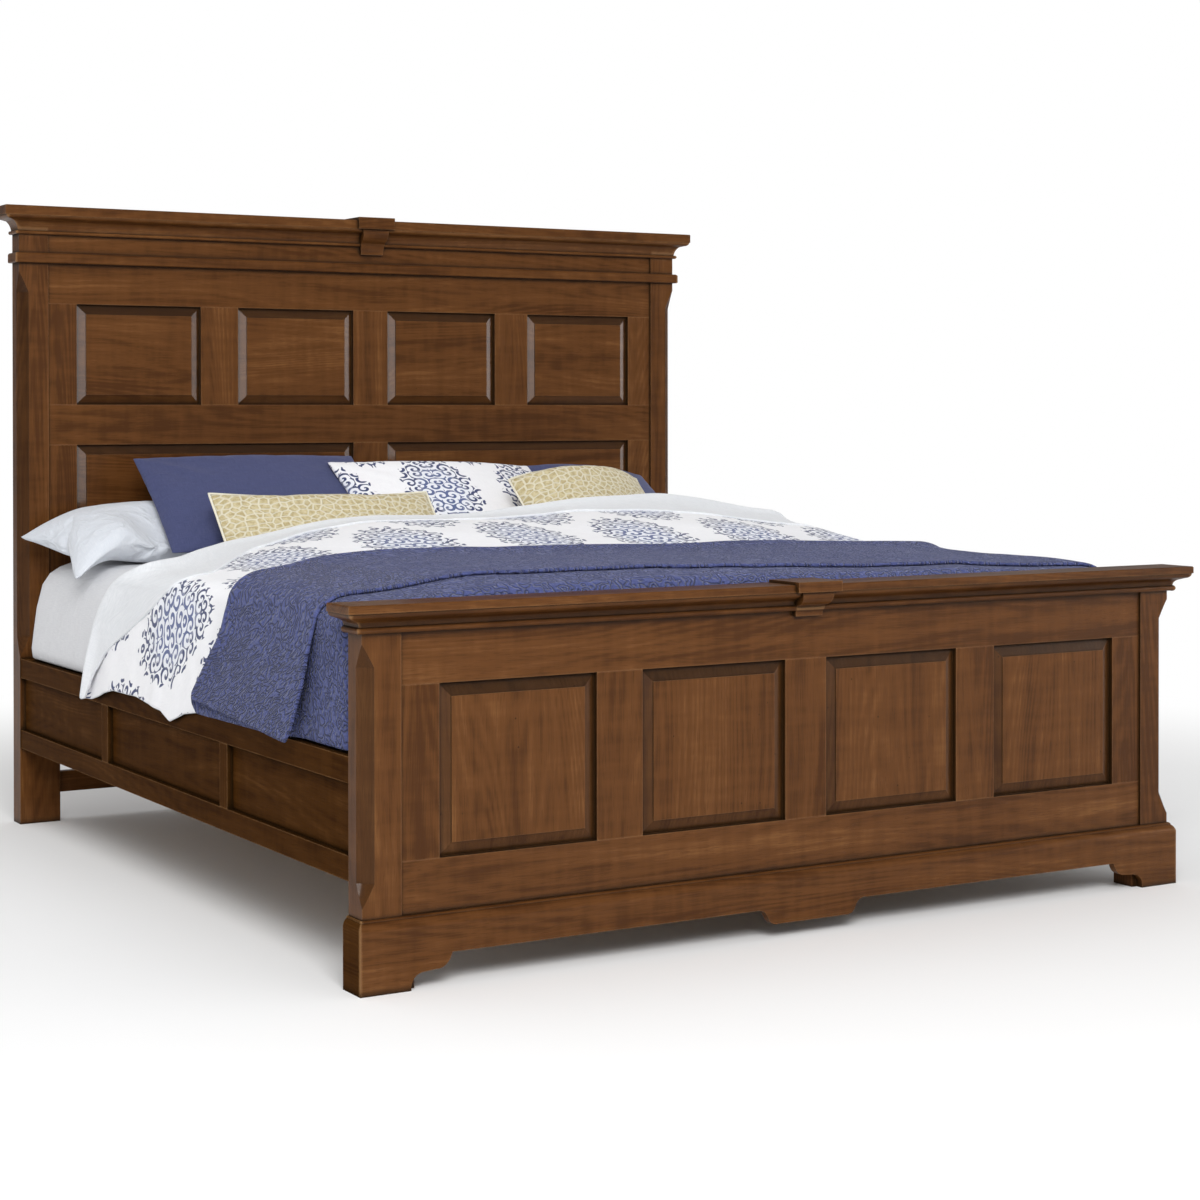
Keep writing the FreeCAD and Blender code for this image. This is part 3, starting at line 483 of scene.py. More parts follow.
def makeMedallions():
    # pointed ovals filled with curls, on a half-drop lattice
    m = medallionLook
    tree, given, result = newGroup("medallions", [("Vector", "Vector", None)], ["Bold", "Light", "Wash"])
    split = partsOf(tree, moved(tree, given["Vector"], m["shift"]))
    rowRaw = calc(tree, "DIVIDE", split[1], m["along"] / 2)
    row = calc(tree, "ROUND", rowRaw)
    nearestY = times(tree, calc(tree, "SUBTRACT", rowRaw, row), m["along"] / 2)

    def ovalAt(rowNumber, dy):
        odd = times(tree, calc(tree, "FLOORED_MODULO", rowNumber, 2.0), 0.5)
        col = calc(tree, "ADD", calc(tree, "DIVIDE", split[0], m["across"]), odd)
        dx = times(tree, calc(tree, "SUBTRACT", col, calc(tree, "ROUND", col)), m["across"])
        ax = calc(tree, "DIVIDE", calc(tree, "ABSOLUTE", dx), m["halfWidth"])
        ay = calc(tree, "DIVIDE", calc(tree, "ABSOLUTE", dy), m["halfLength"])
        corner = calc(tree, "ADD", calc(tree, "POWER", ax, m["roundness"]),
                      calc(tree, "POWER", ay, m["roundness"]))
        angle = times(tree, calc(tree, "ARCTAN2", ay, ax), m["lobes"])
        lobes = scaled(tree, calc(tree, "COSINE", angle), m["lobeDepth"], 1.0)
        reach = calc(tree, "DIVIDE", calc(tree, "POWER", corner, 1 / m["roundness"]), lobes)
        return reach, calc(tree, "ABSOLUTE", dx), dy

    here = ovalAt(row, nearestY)
    side = calc(tree, "SIGN", nearestY)
    beyond = ovalAt(calc(tree, "ADD", row, side),
                    calc(tree, "SUBTRACT", nearestY, times(tree, side, m["along"] / 2)))
    other = calc(tree, "LESS_THAN", beyond[0], here[0])
    own = calc(tree, "SUBTRACT", 1.0, other)
    reach, x, y = (calc(tree, "ADD", times(tree, a, own), times(tree, b, other))
                   for a, b in zip(here, beyond))
    at = vectorOf(tree, times(tree, x, m["curls"]), times(tree, y, m["curls"]))
    cells = add(tree, "TexVoronoi", {"Vector": at, "Scale": 1.0, "Randomness": 0.75},
                voronoi_dimensions="2D").outputs
    arm = partsOf(tree, moved(tree, at, cells["Position"], "SUBTRACT"))
    turn = calc(tree, "DIVIDE", calc(tree, "ARCTAN2", arm[1], arm[0]), 2 * math.pi)
    wound = scaled(tree, cells["Distance"], m["windings"], calc(tree, "ADD", turn, 1.0))
    spiral = calc(tree, "FRACT", wound)
    curl = times(tree, span(tree, spiral, 0.04, 0.10), span(tree, spiral, 0.54, 0.48))
    curl = times(tree, curl, span(tree, reach, 1.0, 0.97))
    rim = span(tree, reach, 0.50, 0.68)
    plug(tree, result, {
        "Bold": times(tree, curl, rim),
        "Light": times(tree, curl, calc(tree, "SUBTRACT", 1.0, rim)),
        "Wash": times(tree, span(tree, reach, 0.92, 0.6), 0.30),
    })
    return tree


medallions = makeMedallions()


def medallionPrint(tree, flat, colour):
    inks = useGroup(tree, medallions, {"Vector": flat})
    for ink in ("Wash", "Light", "Bold"):
        colour = mix(tree, inks[ink], colour, medallionLook[ink.lower()])
    return colour, None


def quiltStitch(tree, flat, colour):
    # closely stitched wandering channels
    wander = noiseOf(tree, flat, 34.0, 1.0)
    channels = calc(tree, "ABSOLUTE", calc(tree, "SINE", times(tree, wander, 20.0)))
    colour = mix(tree, span(tree, channels, 0.5, 0.0, 0.0, 0.6), colour, (0.026, 0.032, 0.10))
    return colour, (calc(tree, "POWER", channels, 0.6), 0.007)


def netPrint(tree, flat, colour):
    # a cream net over gold
    stir = add(tree, "TexNoise", {"Vector": flat, "Scale": 14.0}).outputs["Color"]
    bent = moved(tree, flat, stretched(tree, stir, (0.02, 0.02, 0.0)))
    inputs = {"Vector": stretched(tree, bent, (1.0, 1.35, 1.0)), "Scale": 38.0, "Randomness": 0.85}
    edge = add(tree, "TexVoronoi", inputs, feature="DISTANCE_TO_EDGE",
               voronoi_dimensions="2D").outputs["Distance"]
    net = span(tree, edge, 0.16, 0.06)
    mottle = span(tree, noiseOf(tree, flat, 70.0, 3.0), 0.35, 0.65)
    gold = mix(tree, mottle, colour, (0.58, 0.50, 0.31))
    return mix(tree, net, gold, (0.67, 0.62, 0.47)), (net, 0.0015)


clothLooks = {
    "whiteCotton": {"colours": ((0.62, 0.625, 0.65), (0.69, 0.695, 0.715)), "creases": 0.0035, "size": 7.0},
    "paleBlueCotton": {"colours": ((0.61, 0.645, 0.70), (0.68, 0.705, 0.75)), "creases": 0.007, "size": 12.0},
    "printedCotton": {"colours": ((0.84, 0.84, 0.87), (0.89, 0.89, 0.91)), "creases": 0.003, "size": 6.0,
                      "pattern": medallionPrint},
    "plainReverse": {"colours": ((0.70, 0.72, 0.75), (0.77, 0.785, 0.81)), "creases": 0.004, "size": 6.0},
    "navyQuilting": {"colours": ((0.050, 0.062, 0.172), (0.076, 0.092, 0.235)), "creases": 0.003,
                     "sheen": 0.12, "pattern": quiltStitch},
    "navyCotton": {"colours": ((0.042, 0.051, 0.125), (0.060, 0.070, 0.165)), "sheen": 0.1},
    "goldWeave": {"colours": ((0.37, 0.29, 0.14), (0.46, 0.38, 0.20)), "threads": 600.0, "creases": 0.002,
                  "pattern": netPrint},
    "creamPiping": {"colours": ((0.72, 0.68, 0.54), (0.80, 0.76, 0.64)), "creases": 0.001},
}
cloths = {name: clothMaterial(name, **look) for name, look in clothLooks.items()}
print("cloth materials done")


# meshes for cloth
def clothPiece(name, points, faces, flat, *materials):
    data = bpy.data.meshes.new(name)
    data.from_pydata([tuple(p) for p in points], [], faces)
    layer = data.uv_layers.new(name="flat")
    corners = np.empty(len(data.loops), dtype=np.int32)
    data.loops.foreach_get("vertex_index", corners)
    layer.data.foreach_set("uv", np.asarray(flat, dtype=np.float32)[corners].ravel())
    data.polygons.foreach_set("use_smooth", [True] * len(data.polygons))
    for material in materials:
        data.materials.append(material)
    return placed(name, data)


def gridFaces(rows, cols, closed=False):
    # a closed grid is a tube, whose last column meets its first
    return [(r * cols + c, r * cols + (c + 1) % cols, (r + 1) * cols + (c + 1) % cols, (r + 1) * cols + c)
            for r in range(rows - 1) for c in range(cols if closed else cols - 1)]


def thicken(piece, thickness, reverse=0):
    shell = piece.modifiers.new("thickness", "SOLIDIFY")
    shell.thickness = thickness
    shell.offset = -1.0
    shell.material_offset = shell.material_offset_rim = reverse
    smooth(piece)


def smooth(piece):
    smoothed = piece.modifiers.new("smooth", "SUBSURF")
    smoothed.levels = smoothed.render_levels = 1


def ripple(x, y, z, scale, seed):
    return noise.noise(Vector((x * scale + seed, y * scale, z * scale)))


# the surface that the covers follow: over the top of the bed and down both sides
coverTop = {
    "x": (-0.93, -0.70, -0.35, 0.0, 0.30, 0.60, 0.93),
    "heights": {
        -0.99: (0.714, 0.740, 0.744, 0.738, 0.732, 0.728, 0.712),
        -0.85: (0.718, 0.752, 0.756, 0.746, 0.736, 0.730, 0.714),
        -0.50: (0.720, 0.755, 0.752, 0.743, 0.740, 0.737, 0.722),
        -0.26: (0.722, 0.752, 0.747, 0.744, 0.742, 0.738, 0.724),
        -0.05: (0.722, 0.762, 0.776, 0.777, 0.773, 0.768, 0.742),
        0.15: (0.714, 0.768, 0.810, 0.812, 0.806, 0.798, 0.762),
        0.30: (0.716, 0.760, 0.826, 0.820, 0.827, 0.821, 0.776),
        0.45: (0.718, 0.742, 0.800, 0.790, 0.838, 0.850, 0.794),
        0.62: (0.718, 0.738, 0.794, 0.786, 0.832, 0.845, 0.792),
    },
    "turn": 0.93,              # half width where the top turns down
    "side": 1.008,             # half width where the side begins
    "sideHigh": 0.680,
    "grid": (63, 83),          # points across and along, between which the heights are smoothed
    # columns of a cover are numbered from 0 in the middle to 1 at the hem: where its bend and its side
    # begin, how many columns the top, the bend and the side have, and how much cloth each takes
    "begins": (0.7, 0.8), "columns": (60, 12, 22), "cloth": (0.93, 0.11, 0.27),
}


def smoothTop():
    c = coverTop
    ys = sorted(c["heights"])
    gridX = np.linspace(-c["turn"], c["turn"], c["grid"][0])
    gridY = np.linspace(ys[0], ys[-1], c["grid"][1])
    across = np.array([np.interp(gridX, c["x"], c["heights"][y]) for y in ys])
    full = np.array([np.interp(gridY, ys, across[:, i]) for i in range(len(gridX))]).T
    kernel = np.array((1, 2, 3, 4, 3, 2, 1)) / 16.0
    for _ in range(2):
        full = np.array([np.convolve(np.pad(line, 3, "edge"), kernel, "valid") for line in full])
        full = np.array([np.convolve(np.pad(line, 3, "edge"), kernel, "valid") for line in full.T]).T
    return gridX, gridY, full


topGrid = smoothTop()


def topHeight(x, y):
    gridX, gridY, full = topGrid
    u = np.clip((x - gridX[0]) / (gridX[1] - gridX[0]), 0, len(gridX) - 1.001)
    v = np.clip((y - gridY[0]) / (gridY[1] - gridY[0]), 0, len(gridY) - 1.001)
    i, j = u.astype(int), v.astype(int)
    s, t = u - i, v - j
    return ((full[j, i] * (1 - s) + full[j, i + 1] * s) * (1 - t)
            + (full[j + 1, i] * (1 - s) + full[j + 1, i + 1] * s) * t)


def stagesOf(q):
    # how far along the top, along the bend and down the side, each from 0 to 1
    a = np.abs(q)
    bend, side = coverTop["begins"]
    return [np.clip(share, 0, 1) for share in (a / bend, (a - bend) / (side - bend), (a - side) / (1 - side))]


def coverPoint(q, y, hem, out):
    # q runs from -1 at the left hem to 1 at the right one; hem and out are the hem's height and half width
    c, sign = coverTop, np.sign(q)
    flat, bent, down = stagesOf(q)
    angle = bent * math.pi / 2
    top = topHeight(sign * c["turn"] * flat, y)
    x = c["turn"] * flat + (c["side"] - c["turn"]) * np.sin(angle) + (out - c["side"]) * down ** 0.8
    z = c["sideHigh"] + (top - c["sideHigh"]) * np.cos(angle) + (hem - c["sideHigh"]) * down
    return np.stack([sign * x, y, z], axis=-1)


def flatAcross(q):
    return np.sign(q) * sum(share * cloth for share, cloth in zip(stagesOf(q), coverTop["cloth"]))


def makeColumns():
    stops = (0.0, *coverTop["begins"], 1.0)
    half = [np.linspace(stops[i], stops[i + 1], count)[:-1] for i, count in enumerate(coverTop["columns"])]
    half = np.concatenate([*half, [1.0]])
    return np.concatenate([-half[::-1], half[1:]])


columns = makeColumns()


def tabled(values, pairs):
    return np.interp(values, *zip(*pairs))


foldRows = 8


def coverRows(shape):
    # from the foot end, under the fold, round it and back over to the free edge: y, lift and flat length
    fold, free = tabled(columns, shape["fold"]), tabled(columns, shape["free"])
    r, gap, over = shape["foldRadius"], shape["gap"], shape["over"]
    below, above = shape["rows"]
    rows = []
    for t in np.linspace(0, 1, below):
        y = shape["foot"] + (fold - shape["foot"]) * t
        rows.append((y, over, y))
    for phi in np.linspace(0, math.pi, foldRows + 1)[1:]:
        rows.append((fold + r * math.sin(phi), over + r * (1 - math.cos(phi)), fold + r * phi))
    for t in np.linspace(0, 1, above)[1:]:
        away = (fold - free) * t
        lift = over + gap + (2 * r - gap) * np.exp(-away / shape["easesOver"])
        rows.append((fold - away, lift, fold + r * math.pi + away))
    return rows


def gridOf(rows):
    return [np.array([np.broadcast_to(row[i], len(columns)) for row in rows]) for i in range(3)]


def layCover(name, shape, at, y, lift, flat, materials, reverse=0):
    # at gives the surface that the cover lies on, and lift is its height over it
    q = np.broadcast_to(columns, y.shape)
    step = 1e-3
    normal = np.cross(at(q + step, y) - at(q - step, y), at(q, y + step) - at(q, y - step))
    normal /= np.linalg.norm(normal, axis=-1, keepdims=True)
    points = at(q, y) + normal * lift[..., None]
    piece = clothPiece(name, points.reshape(-1, 3), gridFaces(*y.shape), flat.reshape(-1, 2), *materials)
    thicken(piece, shape["thickness"], reverse)
    return piece


def puffOf(q, y):
    # soft billows on top and upright flutes down the sides
    across, drop = flatAcross(q), np.clip((np.abs(q) - 0.72) / 0.28, 0, 1)
    lift = np.zeros(q.shape)
    for index in np.ndindex(q.shape):
        u, v, d = across[index], y[index], drop[index]
        swell = ripple(u, v, 0.0, 3.2, 4.0) * 0.009 + ripple(u, v, 0.0, 8.0, 9.0) * 0.004
        flute = ripple(v, d * 0.08, 0.0, 7.5, 21.0) * 0.013 + ripple(v, d * 0.1, 0.0, 19.0, 5.0) * 0.004
        lift[index] = swell * (1 - d) + abs(flute) * d * np.interp(v, (-0.5, -0.35), (0.35, 1.0))
    return lift


# duvet: printed side up, its head end turned back into a plain cuff
duvetShape = {
    "foot": -0.94, "thickness": 0.0078, "foldRadius": 0.010, "over": 0.0,
    "gap": -0.003, "easesOver": 0.04,          # how the turned part sinks on to the part below
    "rows": (120, 34),                         # below the fold and above it
    "fold": ((-1.0, 0.44), (-0.93, 0.425), (-0.87, 0.395), (-0.81, 0.315), (-0.76, 0.225), (-0.72, 0.21),
             (-0.67, 0.24), (-0.60, 0.33), (-0.53, 0.40), (-0.42, 0.442), (-0.26, 0.45), (0.11, 0.45),
             (0.41, 0.46), (0.62, 0.45), (0.72, 0.40), (0.86, 0.42), (1.0, 0.45)),
    "free": ((-1.0, 0.43), (-0.96, 0.405), (-0.93, 0.355), (-0.875, 0.195), (-0.83, 0.07), (-0.79, -0.01),
             (-0.74, -0.05), (-0.69, -0.02), (-0.64, 0.07), (-0.58, 0.18), (-0.52, 0.26), (-0.40, 0.315),
             (-0.27, 0.345), (0.0, 0.355), (0.11, 0.36), (0.22, 0.35), (0.33, 0.31), (0.47, 0.28),
             (0.64, 0.25), (0.8, 0.2), (0.9, 0.25), (1.0, 0.32)),
    "hemLeft": ((-1.0, 0.50), (-0.46, 0.49), (-0.40, 0.455), (-0.30, 0.448), (-0.16, 0.428),
                (-0.083, 0.402), (-0.02, 0.420), (0.033, 0.424), (0.15, 0.436), (0.29, 0.434),
                (0.36, 0.420), (0.44, 0.398)),
    "hemRight": ((-1.0, 0.50), (-0.30, 0.48), (-0.18, 0.45), (0.0, 0.405), (0.15, 0.43), (0.33, 0.412),
                 (0.45, 0.43), (0.62, 0.43)),
    "out": ((-1.0, 0.994), (-0.46, 0.995), (-0.38, 1.022), (-0.28, 1.028), (-0.20, 1.037), (0.62, 1.040)),
    # how the print hangs askew on the left side, and lower on both
    "askew": {"begins": 0.62, "width": 0.26, "base": 0.071, "slope": 0.36, "down": 0.08},
}


def makeDuvet():
    s, askew = duvetShape, duvetShape["askew"]
    y, lift, flatY = gridOf(coverRows(s))
    q = np.broadcast_to(columns, y.shape)

    def at(q, y):
        hem = np.where(q < 0, tabled(y, s["hemLeft"]), tabled(y, s["hemRight"]))
        return coverPoint(q, y, hem, tabled(y, s["out"]))

    drop = np.clip((np.abs(q) - askew["begins"]) / askew["width"], 0, 1)
    swept = np.where(q < 0, drop * (askew["base"] + askew["slope"] * flatY), 0.0)
    flat = np.stack([flatAcross(q) + swept, flatY + askew["down"] * drop], axis=-1)
    materials = (cloths["printedCotton"], cloths["plainReverse"])
    return layCover("duvetCover", s, at, y, lift + puffOf(q, y), flat, materials, 1)


# quilt: laid over the foot end and folded double, with the fold towards the pillows
quiltShape = {
    "foot": -0.962, "thickness": 0.0085, "foldRadius": 0.006, "over": 0.0115,
    "gap": 0.0012, "easesOver": 0.03, "rows": (84, 76),
    "tuck": 0.034, "tuckDeep": 0.11,           # its bend and its depth behind the footboard
    "puff": 0.6,                               # how much of the duvet's billows shows through
    "fold": ((-1.0, -0.285), (-0.955, -0.32), (-0.91, -0.36), (-0.853, -0.415), (-0.79, -0.43),
             (-0.71, -0.39), (-0.625, -0.315), (-0.58, -0.268), (-0.467, -0.262), (0.0, -0.262),
             (0.5, -0.262), (0.72, -0.27), (1.0, -0.30)),
    "free": ((-1.0, -0.775), (-0.97, -0.80), (-0.90, -0.83), (-0.80, -0.85), (-0.72, -0.845), (-0.3, -0.862),
             (0.3, -0.866), (0.8, -0.87), (1.0, -0.84)),
    "hemUnder": ((-1.0, 0.4455), (-0.76, 0.4455), (-0.62, 0.445), (-0.2, 0.442)),
    "outUnder": ((-1.0, 1.004), (-0.76, 1.006), (-0.62, 1.040), (-0.2, 1.042)),
    "hemOver": ((-0.80, 0.436), (-0.67, 0.446), (-0.54, 0.455), (-0.40, 0.464), (-0.285, 0.474)),
    "outOver": ((-1.0, 1.040), (-0.2, 1.040)),
}


def makeQuilt():
    s = quiltShape
    foot, tuck, over = s["foot"], s["tuck"], s["over"]
    tucked = [(foot - tuck, over - tuck - down, foot - tuck * 1.57 - down)
              for down in np.linspace(s["tuckDeep"], 0.0, 8)[:-1]]
    tucked += [(foot - tuck * math.sin(phi), over - tuck * (1 - math.cos(phi)), foot - tuck * phi)
               for phi in np.linspace(math.pi / 2, 0, 7)[:-1]]
    y, lift, flatY = gridOf(tucked + coverRows(s))
    q = np.broadcast_to(columns, y.shape)
    lift = lift + puffOf(q, np.minimum(y, tabled(columns, s["fold"]))) * s["puff"]
    below, above = s["rows"]
    share = np.concatenate([np.zeros(len(tucked) + below), np.linspace(0, 1, foldRows), np.ones(above - 1)])
    share = share[:, None]

    def at(q, y):
        hem, out = (tabled(y, s[kind + "Under"]) * (1 - share) + tabled(y, s[kind + "Over"]) * share
                    for kind in ("hem", "out"))
        return coverPoint(q, y, hem, out)

    flat = np.stack([flatAcross(q), flatY], axis=-1)
    return layCover("quiltCover", s, at, y, lift, flat, (cloths["navyQuilting"],))


duvet = makeDuvet()
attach(duvet, "bedding")
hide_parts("duvet")
print("duvet done")

quilt = makeQuilt()
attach(quilt, "bedding")
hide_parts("quilt")
print("quilt done")


# mattress in its fitted sheet
mattressShape = {
    "front": -0.988, "back": 1.045, "corner": 0.055,
    # height, half width, inset at the ends
    "levels": ((0.3460, 0.90, 0.06), (0.3462, 0.94, 0.02), (0.352, 0.955, 0.006), (0.375, 0.964, 0.0),
               (0.44, 0.966, 0.0), (0.4447, 0.970, 0.0), (0.4455, 0.986, 0.0), (0.450, 0.990, 0.0),
               (0.52, 0.990, 0.0), (0.58, 0.990, 0.0), (0.64, 0.982, 0.0), (0.668, 0.968, 0.006),
               (0.686, 0.945, 0.020), (0.699, 0.915, 0.042), (0.7045, 0.88, 0.085), (0.7050, 0.80, 0.16),
               (0.7050, 0.62, 0.34), (0.7050, 0.40, 0.55), (0.7050, 0.18, 0.80), (0.7050, 0.02, 0.98)),
    "finer": 3,                # rings for each of these levels
    "perSide": 70, "perCorner": 10,
}


def ringPoints(half, near, far, corner, perSide, perCorner):
    # a rounded rectangle, from the middle of the foot end round to it again
    corner = min(corner, half * 0.9, (far - near) / 2 * 0.9)
    corners = ((half - corner, near + corner, -90), (half - corner, far - corner, 0),
               (-half + corner, far - corner, 90), (-half + corner, near + corner, 180))
    points = []
    for i, (cx, cy, start) in enumerate(corners):
        for k in range(perCorner + 1):
            angle = math.radians(start + 90 * k / perCorner)
            points.append((cx + corner * math.cos(angle), cy + corner * math.sin(angle)))
        nx, ny, begin = corners[(i + 1) % 4]
        angle = math.radians(begin)
        last, after = points[-1], (nx + corner * math.cos(angle), ny + corner * math.sin(angle))
        for k in range(1, perSide):
            t = k / perSide
            points.append((last[0] + (after[0] - last[0]) * t, last[1] + (after[1] - last[1]) * t))
    return points


def makeMattress():
    s = mattressShape
    table = np.array(s["levels"])
    steps = np.arange(0, len(table) - 0.99, 1 / s["finer"])
    levels = list(zip(*(np.interp(steps, range(len(table)), column) for column in table.T)))
    points, flat = [], []
    travel = 0.0
    for i, (z, half, inset) in enumerate(levels):
        near, far = s["front"] + inset, s["back"] - inset
        ring = ringPoints(half, near, far, s["corner"], s["perSide"], s["perCorner"])
        if i:
            travel += math.dist((z, half), levels[i - 1][:2])
        length = 0.0
        upright = max(0.0, 1 - abs(z - 0.56) / 0.14)
        for k, (x, y) in enumerate(ring):
            if k:
                length += math.dist(ring[k - 1], (x, y))
            # wrinkles down the sides, a slight unevenness on top, and the side that swells at the head end
            pull = ripple(x * 0.6, y, z * 0.12, 26.0, 3.0) * 0.0022 + ripple(x, y, z * 0.2, 9.0, 8.0) * 0.003
            pull = abs(pull) * upright
            dip = abs(ripple(x, y, 0.0, 7.0, 2.0)) * 0.0015 if z > 0.7 else 0.0
            swell = min(1.0, max(0.0, (y - 0.1) / 0.4)) * max(0.0, 1 - abs(z - 0.475) / 0.2)
            swell *= 0.026 if z > 0.445 else 0.0
            outX, outY = (np.sign(x), 0.0) if abs(x) / half > abs(y) else (0.0, np.sign(y))
            points.append((x + outX * (swell - pull), y - outY * pull, z - dip))
            flat.append((length, travel))
    count = len(ring)
    faces = gridFaces(len(levels), count, closed=True)
    faces.append(tuple(range(count))[::-1])
    faces.append(tuple(range(len(points) - count, len(points))))
    return clothPiece("mattressInSheet", points, faces, flat, cloths["whiteCotton"])


mattress = makeMattress()
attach(mattress, "bedding")
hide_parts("mattress")
print("mattress done")


# pillows: two flat pieces of cloth sewn together and blown up
def pillowShell(width, height, cell):
    nx, ny = max(8, round(width / cell)), max(6, round(height / cell))
    index, points, flat = {}, [], []
    for layer in (0, 1):
        for j in range(ny + 1):
            for i in range(nx + 1):
                rim = i in (0, nx) or j in (0, ny)
                if layer and rim:
                    index[layer, i, j] = index[0, i, j]
                    continue
                index[layer, i, j] = len(points)
                x, y = width * (i / nx - 0.5), height * (j / ny - 0.5)
                points.append((x, y, 0.0 if rim else (0.003, -0.003)[layer]))
                flat.append((x, y))
    faces = []
    for j in range(ny):
        for i in range(nx):
            quad = (i, j), (i + 1, j), (i + 1, j + 1), (i, j + 1)
            faces.append(tuple(index[0, a, b] for a, b in quad))
            faces.append(tuple(index[1, a, b] for a, b in quad[::-1]))
    around = ([(i, 0) for i in range(nx)] + [(nx, j) for j in range(ny)]
              + [(i, ny) for i in range(nx, 0, -1)] + [(0, j) for j in range(ny, 0, -1)])
    return points, faces, flat, [index[0, i, j] for i, j in around]


fillingCloth = {"quality": 6, "mass": 0.25, "tension_stiffness": 25.0, "compression_stiffness": 25.0,
                "shear_stiffness": 8.0, "bending_stiffness": 0.15, "use_pressure": True}
fillingFrames = 18


def blowUp(piece, pressure):
    cloth = piece.modifiers.new("filling", "CLOTH")
    for key, value in fillingCloth.items():
        setattr(cloth.settings, key, value)
    cloth.settings.uniform_pressure_force = pressure
    cloth.settings.effector_weights.gravity = 0.0
    cloth.collision_settings.use_collision = False
    cloth.point_cache.frame_start = 1
    cloth.point_cache.frame_end = fillingFrames
    scene = bpy.context.scene
    for number in range(1, fillingFrames + 1):
        scene.frame_set(number)
    filled = piece.evaluated_get(bpy.context.evaluated_depsgraph_get())
    found = np.array([v.co[:] for v in filled.to_mesh().vertices])
    filled.to_mesh_clear()
    piece.modifiers.remove(cloth)
    scene.frame_set(1)
    return found


pillowUsual = {"cell": 0.015, "pressure": 1.2, "turn": 0.0, "roll": 0.0, "fill": 0.6}
pillowAllowance = 1.12                 # flat cloth against the filled pillow
pillowFloor = 0.7075                   # no pillow goes below the sheet


def makePillow(name, look):
    look = dict(pillowUsual, **look)
    flatSize = [length * pillowAllowance for length in look["size"]]
    points, faces, flat, rim = pillowShell(*flatSize, look["cell"])
    piece = clothPiece(name, points, faces, flat, cloths[look["cloth"]])
    shape = blowUp(piece, look["pressure"])
    low, high = shape.min(axis=0), shape.max(axis=0)
    shape -= (low + high) / 2
    shape *= np.array([*look["size"], look["thick"]]) / (high - low)
    if "reshape" in look:
        shape = look["reshape"](shape)
    turn = np.eye(3)
    for key, axis in (("turn", "Z"), ("lean", "X"), ("roll", "Y")):
        turn = turn @ np.array(Matrix.Rotation(math.radians(look[key]), 3, axis))
    shape = shape @ turn.T + np.array(look["at"])
    shape[:, 2] = np.maximum(shape[:, 2], pillowFloor)
    if "settle" in look:
        shape = look["settle"](shape)
    piece.data.vertices.foreach_set("co", shape.ravel())
    piece.data.update()
    smooth(piece)
    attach(piece, "bedding")
    if "replaces" in look:
        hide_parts(look["replaces"])
    return piece, shape[rim]


def pipeRound(name, points, radius, material, owner):
    # a round cord swept along the closed line of points
    sides, count = 8, len(points)
    centre = points.mean(axis=0)
    along = np.roll(points, -1, axis=0) - np.roll(points, 1, axis=0)
    along /= np.linalg.norm(along, axis=1, keepdims=True)
    out = points - centre
    out -= along * (out * along).sum(axis=1, keepdims=True)
    out /= np.linalg.norm(out, axis=1, keepdims=True)
    up = np.cross(along, out)
    angles = np.arange(sides) * 2 * math.pi / sides
    ring = out[:, None] * np.cos(angles)[None, :, None] + up[:, None] * np.sin(angles)[None, :, None]
    ring *= radius
    walk = np.cumsum(np.linalg.norm(points - np.roll(points, 1, axis=0), axis=1))
    flat = np.stack(np.broadcast_arrays(walk[:, None], angles[None, :] * radius), axis=-1)
    faces = [(r * sides + c, (r + 1) % count * sides + c, (r + 1) % count * sides + (c + 1) % sides,
              r * sides + (c + 1) % sides) for r in range(count) for c in range(sides)]
    piping = clothPiece(name, (points[:, None] + ring).reshape(-1, 3), faces, flat.reshape(-1, 2), material)
    piping.parent = owner
    return piping


def skewed(low):
    # the bottom edge of a sham slips aside by low metres
    def reshape(shape):
        shape[:, 0] += low * np.clip(0.5 - shape[:, 1] / (shape[:, 1].max() - shape[:, 1].min()), 0, 1)
        return shape
    return reshape


def squashedUnder(share):
    # thinner towards the middle of the bed, where other pillows lie on it
    def reshape(shape):
        widest = shape[:, 0].max()
        t = np.clip((shape[:, 0] * share / widest + 0.35) / 1.35, 0, 1)
        shape[:, 2] *= 1 - 0.62 * t * t * (3 - 2 * t)
        return shape
    return reshape


def underSham(side):
    # the outer corner hangs over the edge of the mattress, and the inner part lies flat under the sham
    def settle(shape):
        x = shape[:, 0] * side
        over = np.clip((x - 0.90) / 0.13, 0, 1)
        front = np.clip((0.72 - shape[:, 1]) / 0.14, 0, 1)
        roof = np.maximum(0.7095, 0.824 + (shape[:, 1] - 0.77) * 0.6)
        covered = np.clip((0.90 - x) / 0.12, 0, 1)
        shape[:, 2] -= np.maximum(shape[:, 2] - roof, 0) * covered * covered * (3 - 2 * covered)
        shape[:, 2] -= over ** 1.5 * (0.040 + 0.035 * front)
        return shape
    return settle


def sagEnds(drop):
    # both ends of a cushion sink, and its middle stands up
    def settle(shape):
        middle = shape[:, 0].mean()
        reach = np.abs(shape[:, 0] - middle) / np.abs(shape[:, 0] - middle).max()
        shape[:, 2] -= drop * reach ** 2.4
        return shape
    return settle


